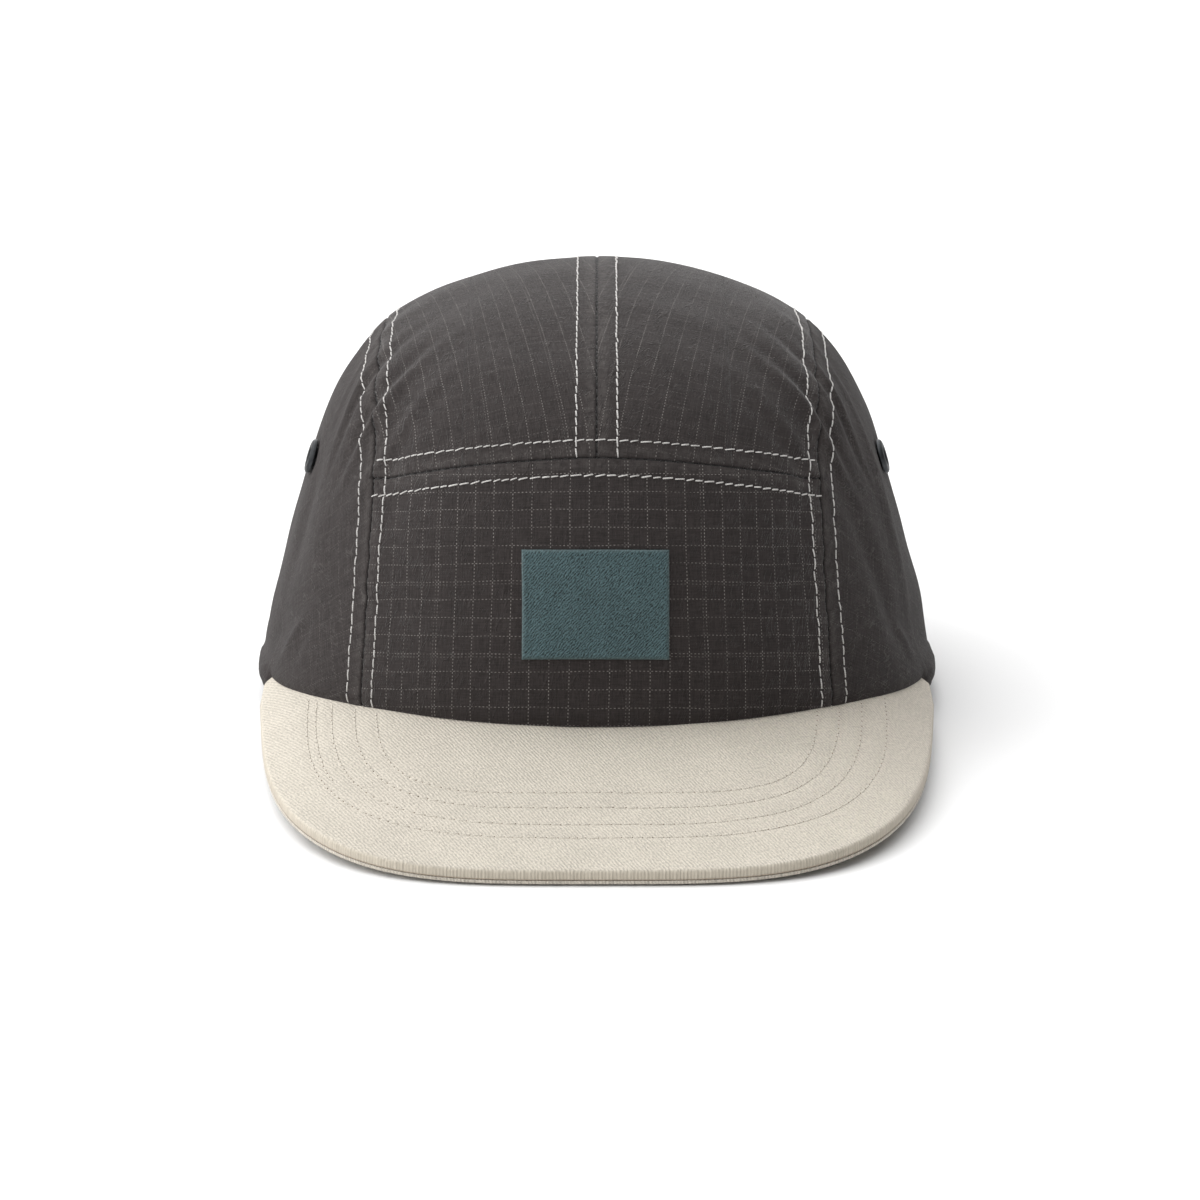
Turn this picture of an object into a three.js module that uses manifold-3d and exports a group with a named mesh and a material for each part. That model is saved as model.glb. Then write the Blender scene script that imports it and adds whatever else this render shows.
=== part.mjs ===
// Five panel cap: a soft crown of five cloth panels, a flat stitched peak and a strap at the back.
// Millimetres, +Z up, the peak towards -Y. The cap rests on the tip of its peak and its back hem.

import * as THREE from 'three';
import { mergeVertices } from 'three/addons/utils/BufferGeometryUtils.js';
import Module from 'manifold-3d';

const wasm = await Module();
wasm.setup();

// Driving dimensions of the crown
const CROWN_HALF_WIDTH = 84.5;
const CROWN_FRONT = 103;
const CROWN_BACK = 97;
const CROWN_HEIGHT = 109;
const PANEL_WALL = 1.4;
const CLOTH_GAP = 0.3;
const SEAM_TOP_HALF = 54;
const SEAM_BASE_HALF = 58.5;
const SEAM_FLARE = 1.25;
const CROSS_SEAM_HEIGHT = 79.4;
const CROSS_SEAM_DROP = 10.4;
const HEM_HEIGHT = 9;
const HEM_PROUD = 1.5;
const HEM_FALL = 1.6;
const FLAT_HEM_BACK = 45;

// Driving dimensions of the peak
const PEAK_LENGTH = 68.5;
const PEAK_HALF_WIDTH = 84;
const PEAK_WIDEST = 50;
const PEAK_TAPER = 0.1145;
const PEAK_CORNER = 4;
const PEAK_RISE = 14;
const PEAK_ARCH_TIP = 1.5;
const PEAK_ARCH_HORN = 22;
const PEAK_ARCH_SHAPE = 3;
const PEAK_TOP_SKIN = 1.8;
const PEAK_UNDER_SKIN = 1.1;
const HORN_PLACE = 36;
const PEAK_EDGE_ROUND = 0.8;

// Driving dimensions of the band, the label, the eyelets and the closure
const BAND_HEIGHT = 28;
const BAND_WALL = 1;
const BAND_ROOM = 0.5;
const LABEL_WIDTH = 34.9;
const LABEL_HEIGHT = 25.4;
const LABEL_THICK = 0.7;
const LABEL_CENTRE_HEIGHT = 46.2;
const EYELET_OUTER = 9;
const EYELET_BARREL = 5.4;
const EYELET_HOLE = 3.8;
const EYELET_PROUD = 1.1;
const EYELET_PLACE = 16;
const EYELET_HEIGHT = 63.4;
const ARCH_HALF = 35;
const ARCH_HEIGHT = 38;
const ARCH_SHAPE = 2.4;
const STRAP_WIDTH = 19;
const STRAP_THICK = 1.2;
const STRAP_HEM_GAP = 4;
const STRAP_REACH = 45;
const BUCKLE_WIDTH = 30;
const BUCKLE_BAR = 3;
const BUCKLE_THICK = 1.8;
const BUCKLE_SIDE = 2.2;
const BUCKLE_STRAP_ROOM = 0.8;

// Crown sections. height is a share of CROWN_HEIGHT, side of CROWN_HALF_WIDTH, front of CROWN_FRONT,
// back of CROWN_BACK; frontCorner and backCorner say how square the two ends of the oval are.
const CROWN_SECTIONS = [
  { height: -0.10, side: 1.017, front: 1.008, back: 0.990, frontCorner: 2.35, backCorner: 2.15 },
  { height: 0.08, side: 1.014, front: 1.002, back: 1.004, frontCorner: 2.35, backCorner: 2.15 },
  { height: 0.20, side: 0.989, front: 0.990, back: 1.010, frontCorner: 2.35, backCorner: 2.15 },
  { height: 0.35, side: 0.941, front: 0.966, back: 1.000, frontCorner: 2.30, backCorner: 2.15 },
  { height: 0.50, side: 0.888, front: 0.930, back: 0.965, frontCorner: 2.25, backCorner: 2.10 },
  { height: 0.65, side: 0.827, front: 0.870, back: 0.895, frontCorner: 2.20, backCorner: 2.10 },
  { height: 0.76, side: 0.758, front: 0.800, back: 0.805, frontCorner: 2.15, backCorner: 2.05 },
  { height: 0.86, side: 0.640, front: 0.660, back: 0.664, frontCorner: 2.10, backCorner: 2.05 },
  { height: 0.94, side: 0.437, front: 0.450, back: 0.460, frontCorner: 2.05, backCorner: 2.00 },
  { height: 1.00, side: 0.000, front: 0.000, back: 0.000, frontCorner: 2.00, backCorner: 2.00 },
];

// Puckers and creases of the cloth. side is -1 left and 1 right, ahead and height give the middle of
// the fold as shares of CROWN_FRONT and CROWN_HEIGHT, turn is the fold's slope in degrees, reach and
// spread are its half length and half width as shares of CROWN_HALF_WIDTH, rise is a share of PANEL_WALL.
const FOLDS = [
  { side: -1, ahead: 0.50, height: 0.74, turn: 35, reach: 0.30, spread: 0.075, rise: 0.9 },
  { side: -1, ahead: 0.62, height: 0.66, turn: 40, reach: 0.26, spread: 0.070, rise: -0.8 },
  { side: -1, ahead: 0.20, height: 0.84, turn: 30, reach: 0.30, spread: 0.080, rise: 0.8 },
  { side: -1, ahead: 0.35, height: 0.20, turn: -30, reach: 0.22, spread: 0.070, rise: -1.0 },
  { side: 1, ahead: 0.50, height: 0.76, turn: 40, reach: 0.32, spread: 0.075, rise: 0.9 },
  { side: 1, ahead: 0.60, height: 0.67, turn: 35, reach: 0.26, spread: 0.070, rise: -0.9 },
  { side: 1, ahead: 0.25, height: 0.84, turn: 30, reach: 0.32, spread: 0.080, rise: 0.7 },
  { side: 1, ahead: 0.40, height: 0.24, turn: -25, reach: 0.25, spread: 0.075, rise: -0.7 },
];

// Rounded head of an eyelet. across runs from the hole to the rim of the flange, up is a share of
// EYELET_PROUD above the cloth.
const EYELET_HEAD = [
  { across: 1.00, up: 0.0 },
  { across: 0.90, up: 0.6 },
  { across: 0.50, up: 1.0 },
  { across: 0.10, up: 0.7 },
];

// How finely each cloth piece is divided; the hem takes the last rows of a panel
const HEM_ROWS = 2;
const STRIP_COLUMNS = 7;
const FRONT_ROWS = 9;
const TOP_ROWS = 15;
const SIDE_COLUMNS = 22;
const SIDE_ROWS = 9;
const PEAK_COLUMNS = 32;
const PEAK_ROWS = 7;
const BAND_COLUMNS = 44;
const LABEL_COLUMNS = 10;
const LABEL_ROWS = 5;
const RING_SIDES = 14;

// Values that follow from the sizes above
const PEAK_THICK = PEAK_TOP_SKIN + PEAK_UNDER_SKIN + CLOTH_GAP;
const TIP_PLACE = CROWN_FRONT + PEAK_LENGTH;
const HALF_GAP = CLOTH_GAP / 2;
const RAY_HEIGHT = 0.3 * CROWN_HEIGHT;
const FOLD_FADE = 1.5 * HEM_HEIGHT;
const HEM_STEP = 3.5;
const HEM_TURN = 1.5;

// How finely curves are followed and places are searched
const ARC_SAMPLES = 120;
const SLOPE_STEP = 0.05;
const SETTLE_ROUNDS = 12;
const HALVINGS = 36;
const LAST_RAY = 1.3 * Math.PI;

// Curves through a table

function monotoneCurve(places, values) {
  const steps = places.slice(1).map((place, i) => place - places[i]);
  const slopes = steps.map((step, i) => (values[i + 1] - values[i]) / step);
  const tangents = values.map((value, i) => {
    if (i === 0) return slopes[0];
    if (i === slopes.length) return slopes[i - 1];
    if (slopes[i - 1] * slopes[i] <= 0) return 0;
    const before = 2 * steps[i] + steps[i - 1];
    const after = steps[i] + 2 * steps[i - 1];
    return (before + after) / (before / slopes[i - 1] + after / slopes[i]);
  });
  return (place) => {
    const last = steps.length - 1;
    const q = Math.min(Math.max(place, places[0]), places[last + 1]);
    let i = 0;
    while (i < last && q > places[i + 1]) i += 1;
    const t = (q - places[i]) / steps[i];
    const s = 1 - t;
    const ends = values[i] * (1 + 2 * t) * s * s + values[i + 1] * t * t * (3 - 2 * t);
    return ends + steps[i] * (tangents[i] * t * s * s - tangents[i + 1] * t * t * s);
  };
}

function smoothStep(from, to, value) {
  const t = Math.min(Math.max((value - from) / (to - from), 0), 1);
  return t * t * (3 - 2 * t);
}

// Crown surface

const domeShare = (height) => Math.sqrt(Math.max(0, 1 - height));
const sectionsFromTop = [...CROWN_SECTIONS].reverse();
const sectionPlaces = sectionsFromTop.map((row) => domeShare(row.height));
const sectionCurves = {};
for (const column of ['side', 'front', 'back', 'frontCorner', 'backCorner']) {
  sectionCurves[column] = monotoneCurve(sectionPlaces, sectionsFromTop.map((row) => row[column]));
}

function crownOval(z, towardsFront) {
  const share = domeShare(z / CROWN_HEIGHT);
  const front = CROWN_FRONT * sectionCurves.front(share);
  const back = CROWN_BACK * sectionCurves.back(share);
  const smallest = SLOPE_STEP;
  return {
    side: Math.max(CROWN_HALF_WIDTH * sectionCurves.side(share), smallest),
    depth: Math.max(towardsFront ? front : back, smallest),
    corner: towardsFront ? sectionCurves.frontCorner(share) : sectionCurves.backCorner(share),
  };
}

// Below zero inside the crown's outer surface, above zero outside it
function outsideCrown(x, y, z) {
  const oval = crownOval(z, y < 0);
  return (Math.abs(x) / oval.side) ** oval.corner + (Math.abs(y) / oval.depth) ** oval.corner - 1;
}

function crownDepthAt(x, z, towardsFront) {
  const oval = crownOval(z, towardsFront);
  const left = Math.max(0, 1 - (Math.abs(x) / oval.side) ** oval.corner);
  return (towardsFront ? -1 : 1) * oval.depth * left ** (1 / oval.corner);
}

function crownSideAt(y, z) {
  const oval = crownOval(z, y < 0);
  const left = Math.max(0, 1 - (Math.abs(y) / oval.depth) ** oval.corner);
  return oval.side * left ** (1 / oval.corner);
}

function crownNormal(point) {
  const h = SLOPE_STEP;
  const { x, y, z } = point;
  return new THREE.Vector3(
    outsideCrown(x + h, y, z) - outsideCrown(x - h, y, z),
    outsideCrown(x, y + h, z) - outsideCrown(x, y - h, z),
    outsideCrown(x, y, z + h) - outsideCrown(x, y, z - h),
  ).normalize();
}

function crownAround(angle, z) {
  const towardsFront = Math.cos(angle) > 0;
  const oval = crownOval(z, towardsFront);
  const across = (Math.abs(Math.sin(angle)) / oval.side) ** oval.corner;
  const along = (Math.abs(Math.cos(angle)) / oval.depth) ** oval.corner;
  const radius = (across + along) ** (-1 / oval.corner);
  return new THREE.Vector3(radius * Math.sin(angle), -radius * Math.cos(angle), z);
}

function seamHalf(z) {
  const below = Math.max(0, 1 - z / CROSS_SEAM_HEIGHT);
  return SEAM_TOP_HALF + (SEAM_BASE_HALF - SEAM_TOP_HALF) * below ** SEAM_FLARE;
}

// Folds: each is a soft ridge or hollow around its own middle, and fades out at the sewn lower edge

const foldFrames = FOLDS.map((fold) => {
  const z = fold.height * CROWN_HEIGHT;
  const y = -fold.ahead * CROWN_FRONT;
  const middle = new THREE.Vector3(fold.side * crownSideAt(y, z), y, z);
  const out = crownNormal(middle);
  const back = new THREE.Vector3(0, 1, 0).addScaledVector(out, -out.y).normalize();
  const up = new THREE.Vector3().crossVectors(out, back).multiplyScalar(fold.side);
  const turn = THREE.MathUtils.degToRad(fold.turn);
  return {
    fold,
    middle,
    along: back.clone().multiplyScalar(Math.cos(turn)).addScaledVector(up, Math.sin(turn)),
    across: up.clone().multiplyScalar(Math.cos(turn)).addScaledVector(back, -Math.sin(turn)),
  };
});

function foldRise(point) {
  let rise = 0;
  for (const { fold, middle, along, across } of foldFrames) {
    const step = point.clone().sub(middle);
    const far = step.dot(along) / (fold.reach * CROWN_HALF_WIDTH);
    const wide = step.dot(across) / (fold.spread * CROWN_HALF_WIDTH);
    const fade = far * far + wide * wide;
    rise += fold.rise * PANEL_WALL * Math.exp(-fade);
  }
  return rise * smoothStep(0, FOLD_FADE, point.z - rimHeight(point.x, point.y));
}

// Peak surface and the lower edge of the crown

function peakTopHeight(x, y) {
  const back = y + TIP_PLACE;
  const middle = PEAK_THICK + (back / PEAK_LENGTH) * PEAK_RISE;
  const arch = PEAK_ARCH_TIP + (back / (TIP_PLACE - HORN_PLACE)) * (PEAK_ARCH_HORN - PEAK_ARCH_TIP);
  return middle - arch * Math.abs(x / CROWN_HALF_WIDTH) ** PEAK_ARCH_SHAPE;
}

function peakNormal(x, y) {
  const h = SLOPE_STEP;
  const slopeX = (peakTopHeight(x + h, y) - peakTopHeight(x - h, y)) / (2 * h);
  const slopeY = (peakTopHeight(x, y + h) - peakTopHeight(x, y - h)) / (2 * h);
  return new THREE.Vector3(-slopeX, -slopeY, 1).normalize();
}

// The lower edge lies on the peak in front and comes down to the table behind it
function rimHeight(x, y) {
  const onPeak = peakTopHeight(x, y) + CLOTH_GAP;
  const hornX = CROWN_HALF_WIDTH;
  const hornHeight = Math.max(peakTopHeight(hornX, -HORN_PLACE) - PEAK_UNDER_SKIN, 0);
  const down = Math.min(Math.max((y + HORN_PLACE) / (HORN_PLACE + FLAT_HEM_BACK), 0), 1);
  const behind = hornHeight * (1 - down) ** HEM_FALL;
  const mix = behindPeak(y);
  return onPeak * (1 - mix) + behind * mix;
}

function rimFrontPoint(share, shift) {
  let z = PEAK_THICK + PEAK_RISE;
  let point = new THREE.Vector3();
  for (let i = 0; i < SETTLE_ROUNDS; i += 1) {
    const x = share * (seamHalf(z) + shift);
    point = new THREE.Vector3(x, crownDepthAt(x, z, true), z);
    z = rimHeight(point.x, point.y);
  }
  return point;
}

function rimSidePoint(y) {
  let z = 0;
  for (let i = 0; i < SETTLE_ROUNDS; i += 1) z = rimHeight(crownSideAt(y, z), y);
  return new THREE.Vector3(crownSideAt(y, z), y, z);
}

function behindPeak(y) {
  return smoothStep(-HORN_PLACE + CLOTH_GAP, -HORN_PLACE + HEM_STEP, y);
}

// The middle strip of the crown, met by rays in the plane that runs front to back

function stripPoint(share, shift, ray) {
  const dy = -Math.cos(ray);
  const dz = Math.sin(ray);
  let inner = 0;
  let outer = 2 * CROWN_FRONT;
  const place = (reach) => {
    const z = RAY_HEIGHT + reach * dz;
    return new THREE.Vector3(share * (seamHalf(z) + shift), reach * dy, z);
  };
  for (let i = 0; i < HALVINGS; i += 1) {
    const middle = (inner + outer) / 2;
    const p = place(middle);
    const outside = p.z >= CROWN_HEIGHT || outsideCrown(p.x, p.y, p.z) > 0;
    if (outside) outer = middle;
    else inner = middle;
  }
  return place(inner);
}

const rayOf = (point) => Math.atan2(point.z - RAY_HEIGHT, -point.y);

function rayWhere(share, shift, from, to, isPast) {
  let low = from;
  let high = to;
  for (let i = 0; i < HALVINGS; i += 1) {
    const middle = (low + high) / 2;
    if (isPast(stripPoint(share, shift, middle))) high = middle;
    else low = middle;
  }
  return (low + high) / 2;
}

function crossSeamHeight(x) {
  return CROSS_SEAM_HEIGHT - CROSS_SEAM_DROP * (x / SEAM_TOP_HALF) ** 2;
}

function archHeight(x) {
  const left = 1 - (Math.abs(x) / ARCH_HALF) ** ARCH_SHAPE;
  return left > 0 ? ARCH_HEIGHT * left ** (1 / ARCH_SHAPE) : 0;
}

function crossSeamRay(share, shift, lift) {
  const past = (p) => p.z > crossSeamHeight(p.x) + lift;
  return rayWhere(share, shift, 0, Math.PI / 2, past);
}

function backEndRay(share, shift) {
  const past = (p) => p.z < archHeight(p.x);
  return rayWhere(share, shift, Math.PI / 2, LAST_RAY, past);
}

// Points along a curve at given distances from its start; a stop below zero counts from the end
function pointsAlong(curve, stops) {
  const samples = [];
  for (let i = 0; i <= ARC_SAMPLES; i += 1) samples.push(curve(i / ARC_SAMPLES));
  const reach = [0];
  for (let i = 1; i < samples.length; i += 1) {
    reach.push(reach[i - 1] + samples[i].distanceTo(samples[i - 1]));
  }
  const whole = reach[ARC_SAMPLES];
  return stops(whole).map((stop) => {
    let i = 1;
    while (i < ARC_SAMPLES && reach[i] < stop) i += 1;
    const t = (stop - reach[i - 1]) / Math.max(reach[i] - reach[i - 1], 1e-9);
    return curve(Math.min(Math.max((i - 1 + t) / ARC_SAMPLES, 0), 1));
  });
}

function evenStops(count) {
  return (whole) => Array.from({ length: count + 1 }, (unused, i) => (whole * i) / count);
}

function hemStops(count) {
  return (whole) => {
    const body = whole - HEM_HEIGHT;
    const stops = Array.from({ length: count - 2 }, (unused, i) => (body * i) / (count - 3));
    return [...stops, whole - HEM_HEIGHT + HEM_TURN, whole - HEM_TURN, whole];
  };
}

// Closed solids

function solidMesh(name, positions, indices, material) {
  const geometry = new THREE.BufferGeometry();
  geometry.setAttribute('position', new THREE.Float32BufferAttribute(positions, 3));
  geometry.setIndex(indices);
  geometry.computeVertexNormals();
  const mesh = new THREE.Mesh(geometry, material);
  mesh.name = name;
  return mesh;
}

// A wall between two grids of points with the same rows and columns; flip turns its faces round
function shellMesh(name, outer, inner, flip, material) {
  const rows = outer.length;
  const columns = outer[0].length;
  const positions = [];
  for (const grid of [outer, inner]) {
    for (const row of grid) row.forEach((p) => positions.push(p.x, p.y, p.z));
  }
  const at = (layer, i, j) => layer * rows * columns + i * columns + j;
  const indices = [];
  const quad = (a, b, c, d) => {
    if (flip) indices.push(a, c, b, a, d, c);
    else indices.push(a, b, c, a, c, d);
  };
  for (let i = 0; i < rows - 1; i += 1) {
    for (let j = 0; j < columns - 1; j += 1) {
      quad(at(0, i, j), at(0, i, j + 1), at(0, i + 1, j + 1), at(0, i + 1, j));
      quad(at(1, i, j), at(1, i + 1, j), at(1, i + 1, j + 1), at(1, i, j + 1));
    }
  }
  for (let j = 0; j < columns - 1; j += 1) {
    quad(at(0, 0, j + 1), at(0, 0, j), at(1, 0, j), at(1, 0, j + 1));
    quad(at(0, rows - 1, j), at(0, rows - 1, j + 1), at(1, rows - 1, j + 1), at(1, rows - 1, j));
  }
  const end = columns - 1;
  for (let i = 0; i < rows - 1; i += 1) {
    quad(at(0, i, 0), at(0, i + 1, 0), at(1, i + 1, 0), at(1, i, 0));
    quad(at(0, i + 1, end), at(0, i, end), at(1, i, end), at(1, i + 1, end));
  }
  return solidMesh(name, positions, indices, material);
}

function toManifold(geometry) {
  const bare = geometry.clone();
  bare.deleteAttribute('normal');
  if (bare.getAttribute('uv')) bare.deleteAttribute('uv');
  const merged = mergeVertices(bare, 1e-4);
  return new wasm.Manifold(new wasm.Mesh({
    numProp: 3,
    vertProperties: new Float32Array(merged.getAttribute('position').array),
    triVerts: new Uint32Array(merged.getIndex().array),
  }));
}

function cutMesh(mesh, tool) {
  const left = toManifold(mesh.geometry).subtract(toManifold(tool)).getMesh();
  return solidMesh(mesh.name, Array.from(left.vertProperties), Array.from(left.triVerts), mesh.material);
}

// Outer and inner face of a crown wall at a point of the crown surface. On a side seam the cut
// through the wall stands upright, front to back, so that the two panels face each other.
function wallPoints(point, hem, onSideSeam) {
  const out = crownNormal(point);
  if (onSideSeam) {
    out.x = 0;
    out.divideScalar(out.lengthSq());
  }
  const rise = foldRise(point);
  const outer = point.clone().addScaledVector(out, rise + hem);
  const inner = point.clone().addScaledVector(out, rise - PANEL_WALL);
  return [outer, inner];
}

// The wall's lower inner edge stays clear of the peak, which climbs inwards
function clearOfPeak(point) {
  const lowest = peakTopHeight(point.x, point.y) + CLOTH_GAP;
  if (point.y < -HORN_PLACE + 2 * CLOTH_GAP && point.z < lowest) point.z = lowest;
  return point;
}

function flatOnTable(points) {
  points.forEach((p) => { p.z = Math.max(p.z, 0); });
}

// Where the crown's edge meets the table, the whole width of the wall lies flat on it
function flatWhereItRests(point, pair) {
  const touching = 0.01;
  if (point.z < touching) pair.forEach((p) => { p.z = 0; });
  return pair;
}

function wallGrids(pointRows, hemOf, onSideSeam) {
  const outer = [];
  const inner = [];
  const lastColumn = pointRows[0].length - 1;
  pointRows.forEach((row, i) => {
    const pairs = row.map((point, j) => {
      return flatWhereItRests(point, wallPoints(point, hemOf(point, i), onSideSeam(i, j, lastColumn)));
    });
    outer.push(pairs.map((pair) => clearOfPeak(pair[0])));
    inner.push(pairs.map((pair) => clearOfPeak(pair[1])));
    flatOnTable(outer[i]);
    flatOnTable(inner[i]);
  });
  return [outer, inner];
}

// Materials

function finish(name, color, roughness, metalness) {
  return new THREE.MeshStandardMaterial({ name, color, roughness, metalness });
}

const ripstop = finish('crown_cloth', 0x3b3837, 0.92, 0);
const twill = finish('peak_cloth', 0xd1cabe, 0.9, 0);
const labelCloth = finish('patch_cloth', 0x455658, 0.85, 0);
const bandCloth = finish('band_cloth', 0x2c2a2a, 0.95, 0);
const webbing = finish('webbing', 0x2a2829, 0.85, 0);
const darkMetal = finish('dark_metal', 0x3a3d3f, 0.4, 0.9);

// Crown panels

const stripShift = -HALF_GAP;

function frontPanel() {
  const lines = [];
  for (let j = -STRIP_COLUMNS; j <= STRIP_COLUMNS; j += 1) {
    const share = j / STRIP_COLUMNS;
    const from = rayOf(rimFrontPoint(share, stripShift));
    const to = crossSeamRay(share, stripShift, -HALF_GAP);
    const curve = (t) => stripPoint(share, stripShift, from + (to - from) * t);
    lines.push(pointsAlong(curve, evenStops(FRONT_ROWS)));
  }
  const rows = lines[0].map((unused, i) => lines.map((line) => line[i]));
  const [outer, inner] = wallGrids(rows, () => 0, (i, j, last) => j === 0 || j === last);
  return shellMesh('front_panel', outer, inner, false, ripstop.clone());
}

function topPanelShares() {
  const archShare = ARCH_HALF / seamHalf(0);
  const middleShare = HALF_GAP / (SEAM_TOP_HALF + stripShift);
  const beside = 3;
  const over = STRIP_COLUMNS - beside;
  const shares = [];
  for (let j = 0; j <= over; j += 1) {
    const turn = (j / over) * (Math.PI / 2);
    shares.push(middleShare + (archShare - middleShare) * Math.sin(turn));
  }
  for (let j = 1; j <= beside; j += 1) shares.push(archShare + ((1 - archShare) * j) / beside);
  return shares;
}

function topPanel(side, name) {
  const lines = topPanelShares().map((share) => {
    const from = crossSeamRay(share, stripShift, HALF_GAP);
    const to = backEndRay(share, stripShift);
    const curve = (t) => stripPoint(side * share, stripShift, from + (to - from) * t);
    return pointsAlong(curve, hemStops(TOP_ROWS));
  });
  const rows = lines[0].map((unused, i) => lines.map((line) => line[i]));
  const hemStart = rows.length - HEM_ROWS;
  const hemOf = (point, i) => {
    return Math.abs(point.x) >= ARCH_HALF - HALF_GAP && i >= hemStart ? HEM_PROUD : 0;
  };
  const [outer, inner] = wallGrids(rows, hemOf, (i, j, last) => j === last);
  return shellMesh(name, outer, inner, side < 0, ripstop.clone());
}

// The side panel is a patch between its rim, the upright runs of the seam and the run over the top
function sideOutline() {
  const front = rimFrontPoint(1, HALF_GAP);
  const rayFront = rayOf(front);
  const rayCorner = crossSeamRay(1, HALF_GAP, 0);
  const rayBack = backEndRay(1, HALF_GAP);
  const below = (p) => p.z < crossSeamHeight(SEAM_TOP_HALF);
  const rayBackCorner = rayWhere(1, HALF_GAP, Math.PI / 2, Math.PI, below);
  const back = stripPoint(1, HALF_GAP, rayBack);
  const seam = (from, to) => (t) => stripPoint(1, HALF_GAP, from + (to - from) * t);
  return {
    rim: (t) => rimSidePoint(front.y + (back.y - front.y) * t),
    front: seam(rayFront, rayCorner),
    top: seam(rayCorner, rayBackCorner),
    back: seam(rayBack, rayBackCorner),
    frontY: front.y,
    backY: back.y,
  };
}

function sidePatch(outline, u, v) {
  const corners = [outline.rim(0), outline.rim(1), outline.front(1), outline.back(1)];
  const mix = (key) => {
    const straight = (1 - v) * outline.rim(u)[key] + v * outline.top(u)[key];
    const upright = (1 - u) * outline.front(v)[key] + u * outline.back(v)[key];
    const low = (1 - u) * corners[0][key] + u * corners[1][key];
    const high = (1 - u) * corners[2][key] + u * corners[3][key];
    return straight + upright - (1 - v) * low - v * high;
  };
  const y = mix('y');
  const z = mix('z');
  return new THREE.Vector3(crownSideAt(y, z), y, z);
}

function sidePanelColumns(outline) {
  const length = outline.backY - outline.frontY;
  const hornStart = (-HORN_PLACE + CLOTH_GAP - outline.frontY) / length;
  const hornEnd = (-HORN_PLACE + HEM_STEP - outline.frontY) / length;
  const ahead = Math.max(3, Math.round(SIDE_COLUMNS * hornStart));
  const behind = SIDE_COLUMNS - ahead - 1;
  const places = [];
  for (let i = 0; i <= ahead; i += 1) places.push((hornStart * i) / ahead);
  for (let i = 0; i <= behind; i += 1) places.push(hornEnd + ((1 - hornEnd) * i) / behind);
  return places;
}

function sidePanel(side, name) {
  const outline = sideOutline();
  const columns = sidePanelColumns(outline).map((u) => {
    const curve = (t) => sidePatch(outline, u, 1 - t);
    return pointsAlong(curve, hemStops(SIDE_ROWS));
  });
  const mirrored = columns.map((line) => line.map((p) => new THREE.Vector3(side * p.x, p.y, p.z)));
  const rows = mirrored[0].map((unused, i) => mirrored.map((line) => line[i]));
  const hemStart = rows.length - HEM_ROWS;
  const hemOf = (point, i) => (i >= hemStart ? HEM_PROUD * behindPeak(point.y) : 0);
  const [outer, inner] = wallGrids(rows, hemOf, (i, j, last) => i === 0 || j === 0 || j === last);
  const panel = shellMesh(name, outer, inner, side > 0, ripstop.clone());
  return cutMesh(panel, eyeletHole(side));
}

// Eyelets: a pressed ring whose barrel goes through the side panel

function eyeletSeat(side) {
  const y = -EYELET_PLACE;
  const point = new THREE.Vector3(side * crownSideAt(y, EYELET_HEIGHT), y, EYELET_HEIGHT);
  const out = crownNormal(point);
  point.addScaledVector(out, foldRise(point));
  const turn = new THREE.Quaternion().setFromUnitVectors(new THREE.Vector3(0, 1, 0), out);
  return { point, turn };
}

function eyeletHole(side) {
  const radius = EYELET_BARREL / 2 + CLOTH_GAP;
  const drill = new THREE.CylinderGeometry(radius, radius, 6 * PANEL_WALL, RING_SIDES);
  const { point, turn } = eyeletSeat(side);
  drill.applyQuaternion(turn);
  drill.translate(point.x, point.y, point.z);
  return drill;
}

function eyelet(side, name) {
  const hole = EYELET_HOLE / 2;
  const barrel = EYELET_BARREL / 2;
  const flange = EYELET_OUTER / 2;
  const seat = CLOTH_GAP;
  const inside = -PANEL_WALL - CLOTH_GAP;
  const head = EYELET_HEAD.map(({ across, up }) => {
    return new THREE.Vector2(hole + across * (flange - hole), seat + up * EYELET_PROUD);
  });
  const profile = [
    new THREE.Vector2(hole, inside),
    new THREE.Vector2(barrel, inside),
    new THREE.Vector2(barrel, seat),
    ...head,
    new THREE.Vector2(hole, inside),
  ];
  const ring = new THREE.Mesh(new THREE.LatheGeometry(profile, RING_SIDES), darkMetal.clone());
  ring.name = name;
  const { point, turn } = eyeletSeat(side);
  ring.position.copy(point);
  ring.quaternion.copy(turn);
  return ring;
}

// Peak: two cloth skins over the same crescent. Its outline is straight from the horns to its widest
// place, and from there a squared oval that narrows towards the tip.

function peakOuterPoint(turn) {
  const side = Math.sign(turn);
  const quarters = Math.abs(turn) / (Math.PI / 2);
  if (quarters >= 1) {
    const y = -PEAK_WIDEST + (quarters - 1) * (PEAK_WIDEST - HORN_PLACE);
    return new THREE.Vector3(side * PEAK_HALF_WIDTH, y, 0);
  }
  const t = Math.cos(turn);
  const oval = (1 - t ** PEAK_CORNER) ** (1 / PEAK_CORNER);
  const width = PEAK_HALF_WIDTH * (1 - PEAK_TAPER * t) * oval;
  return new THREE.Vector3(side * width, -PEAK_WIDEST - (TIP_PLACE - PEAK_WIDEST) * t, 0);
}

function peakInnerPoint(angle) {
  let z = PEAK_THICK + PEAK_RISE;
  let point = new THREE.Vector3();
  for (let i = 0; i < SETTLE_ROUNDS; i += 1) {
    point = crownAround(angle, z);
    z = peakTopHeight(point.x, point.y);
  }
  const out = crownNormal(point).setZ(0).normalize();
  return point.addScaledVector(out, -PANEL_WALL).setZ(0);
}

function hornAngle() {
  const side = crownSideAt(-HORN_PLACE, peakTopHeight(CROWN_HALF_WIDTH, -HORN_PLACE));
  return Math.atan2(side, HORN_PLACE);
}

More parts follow.
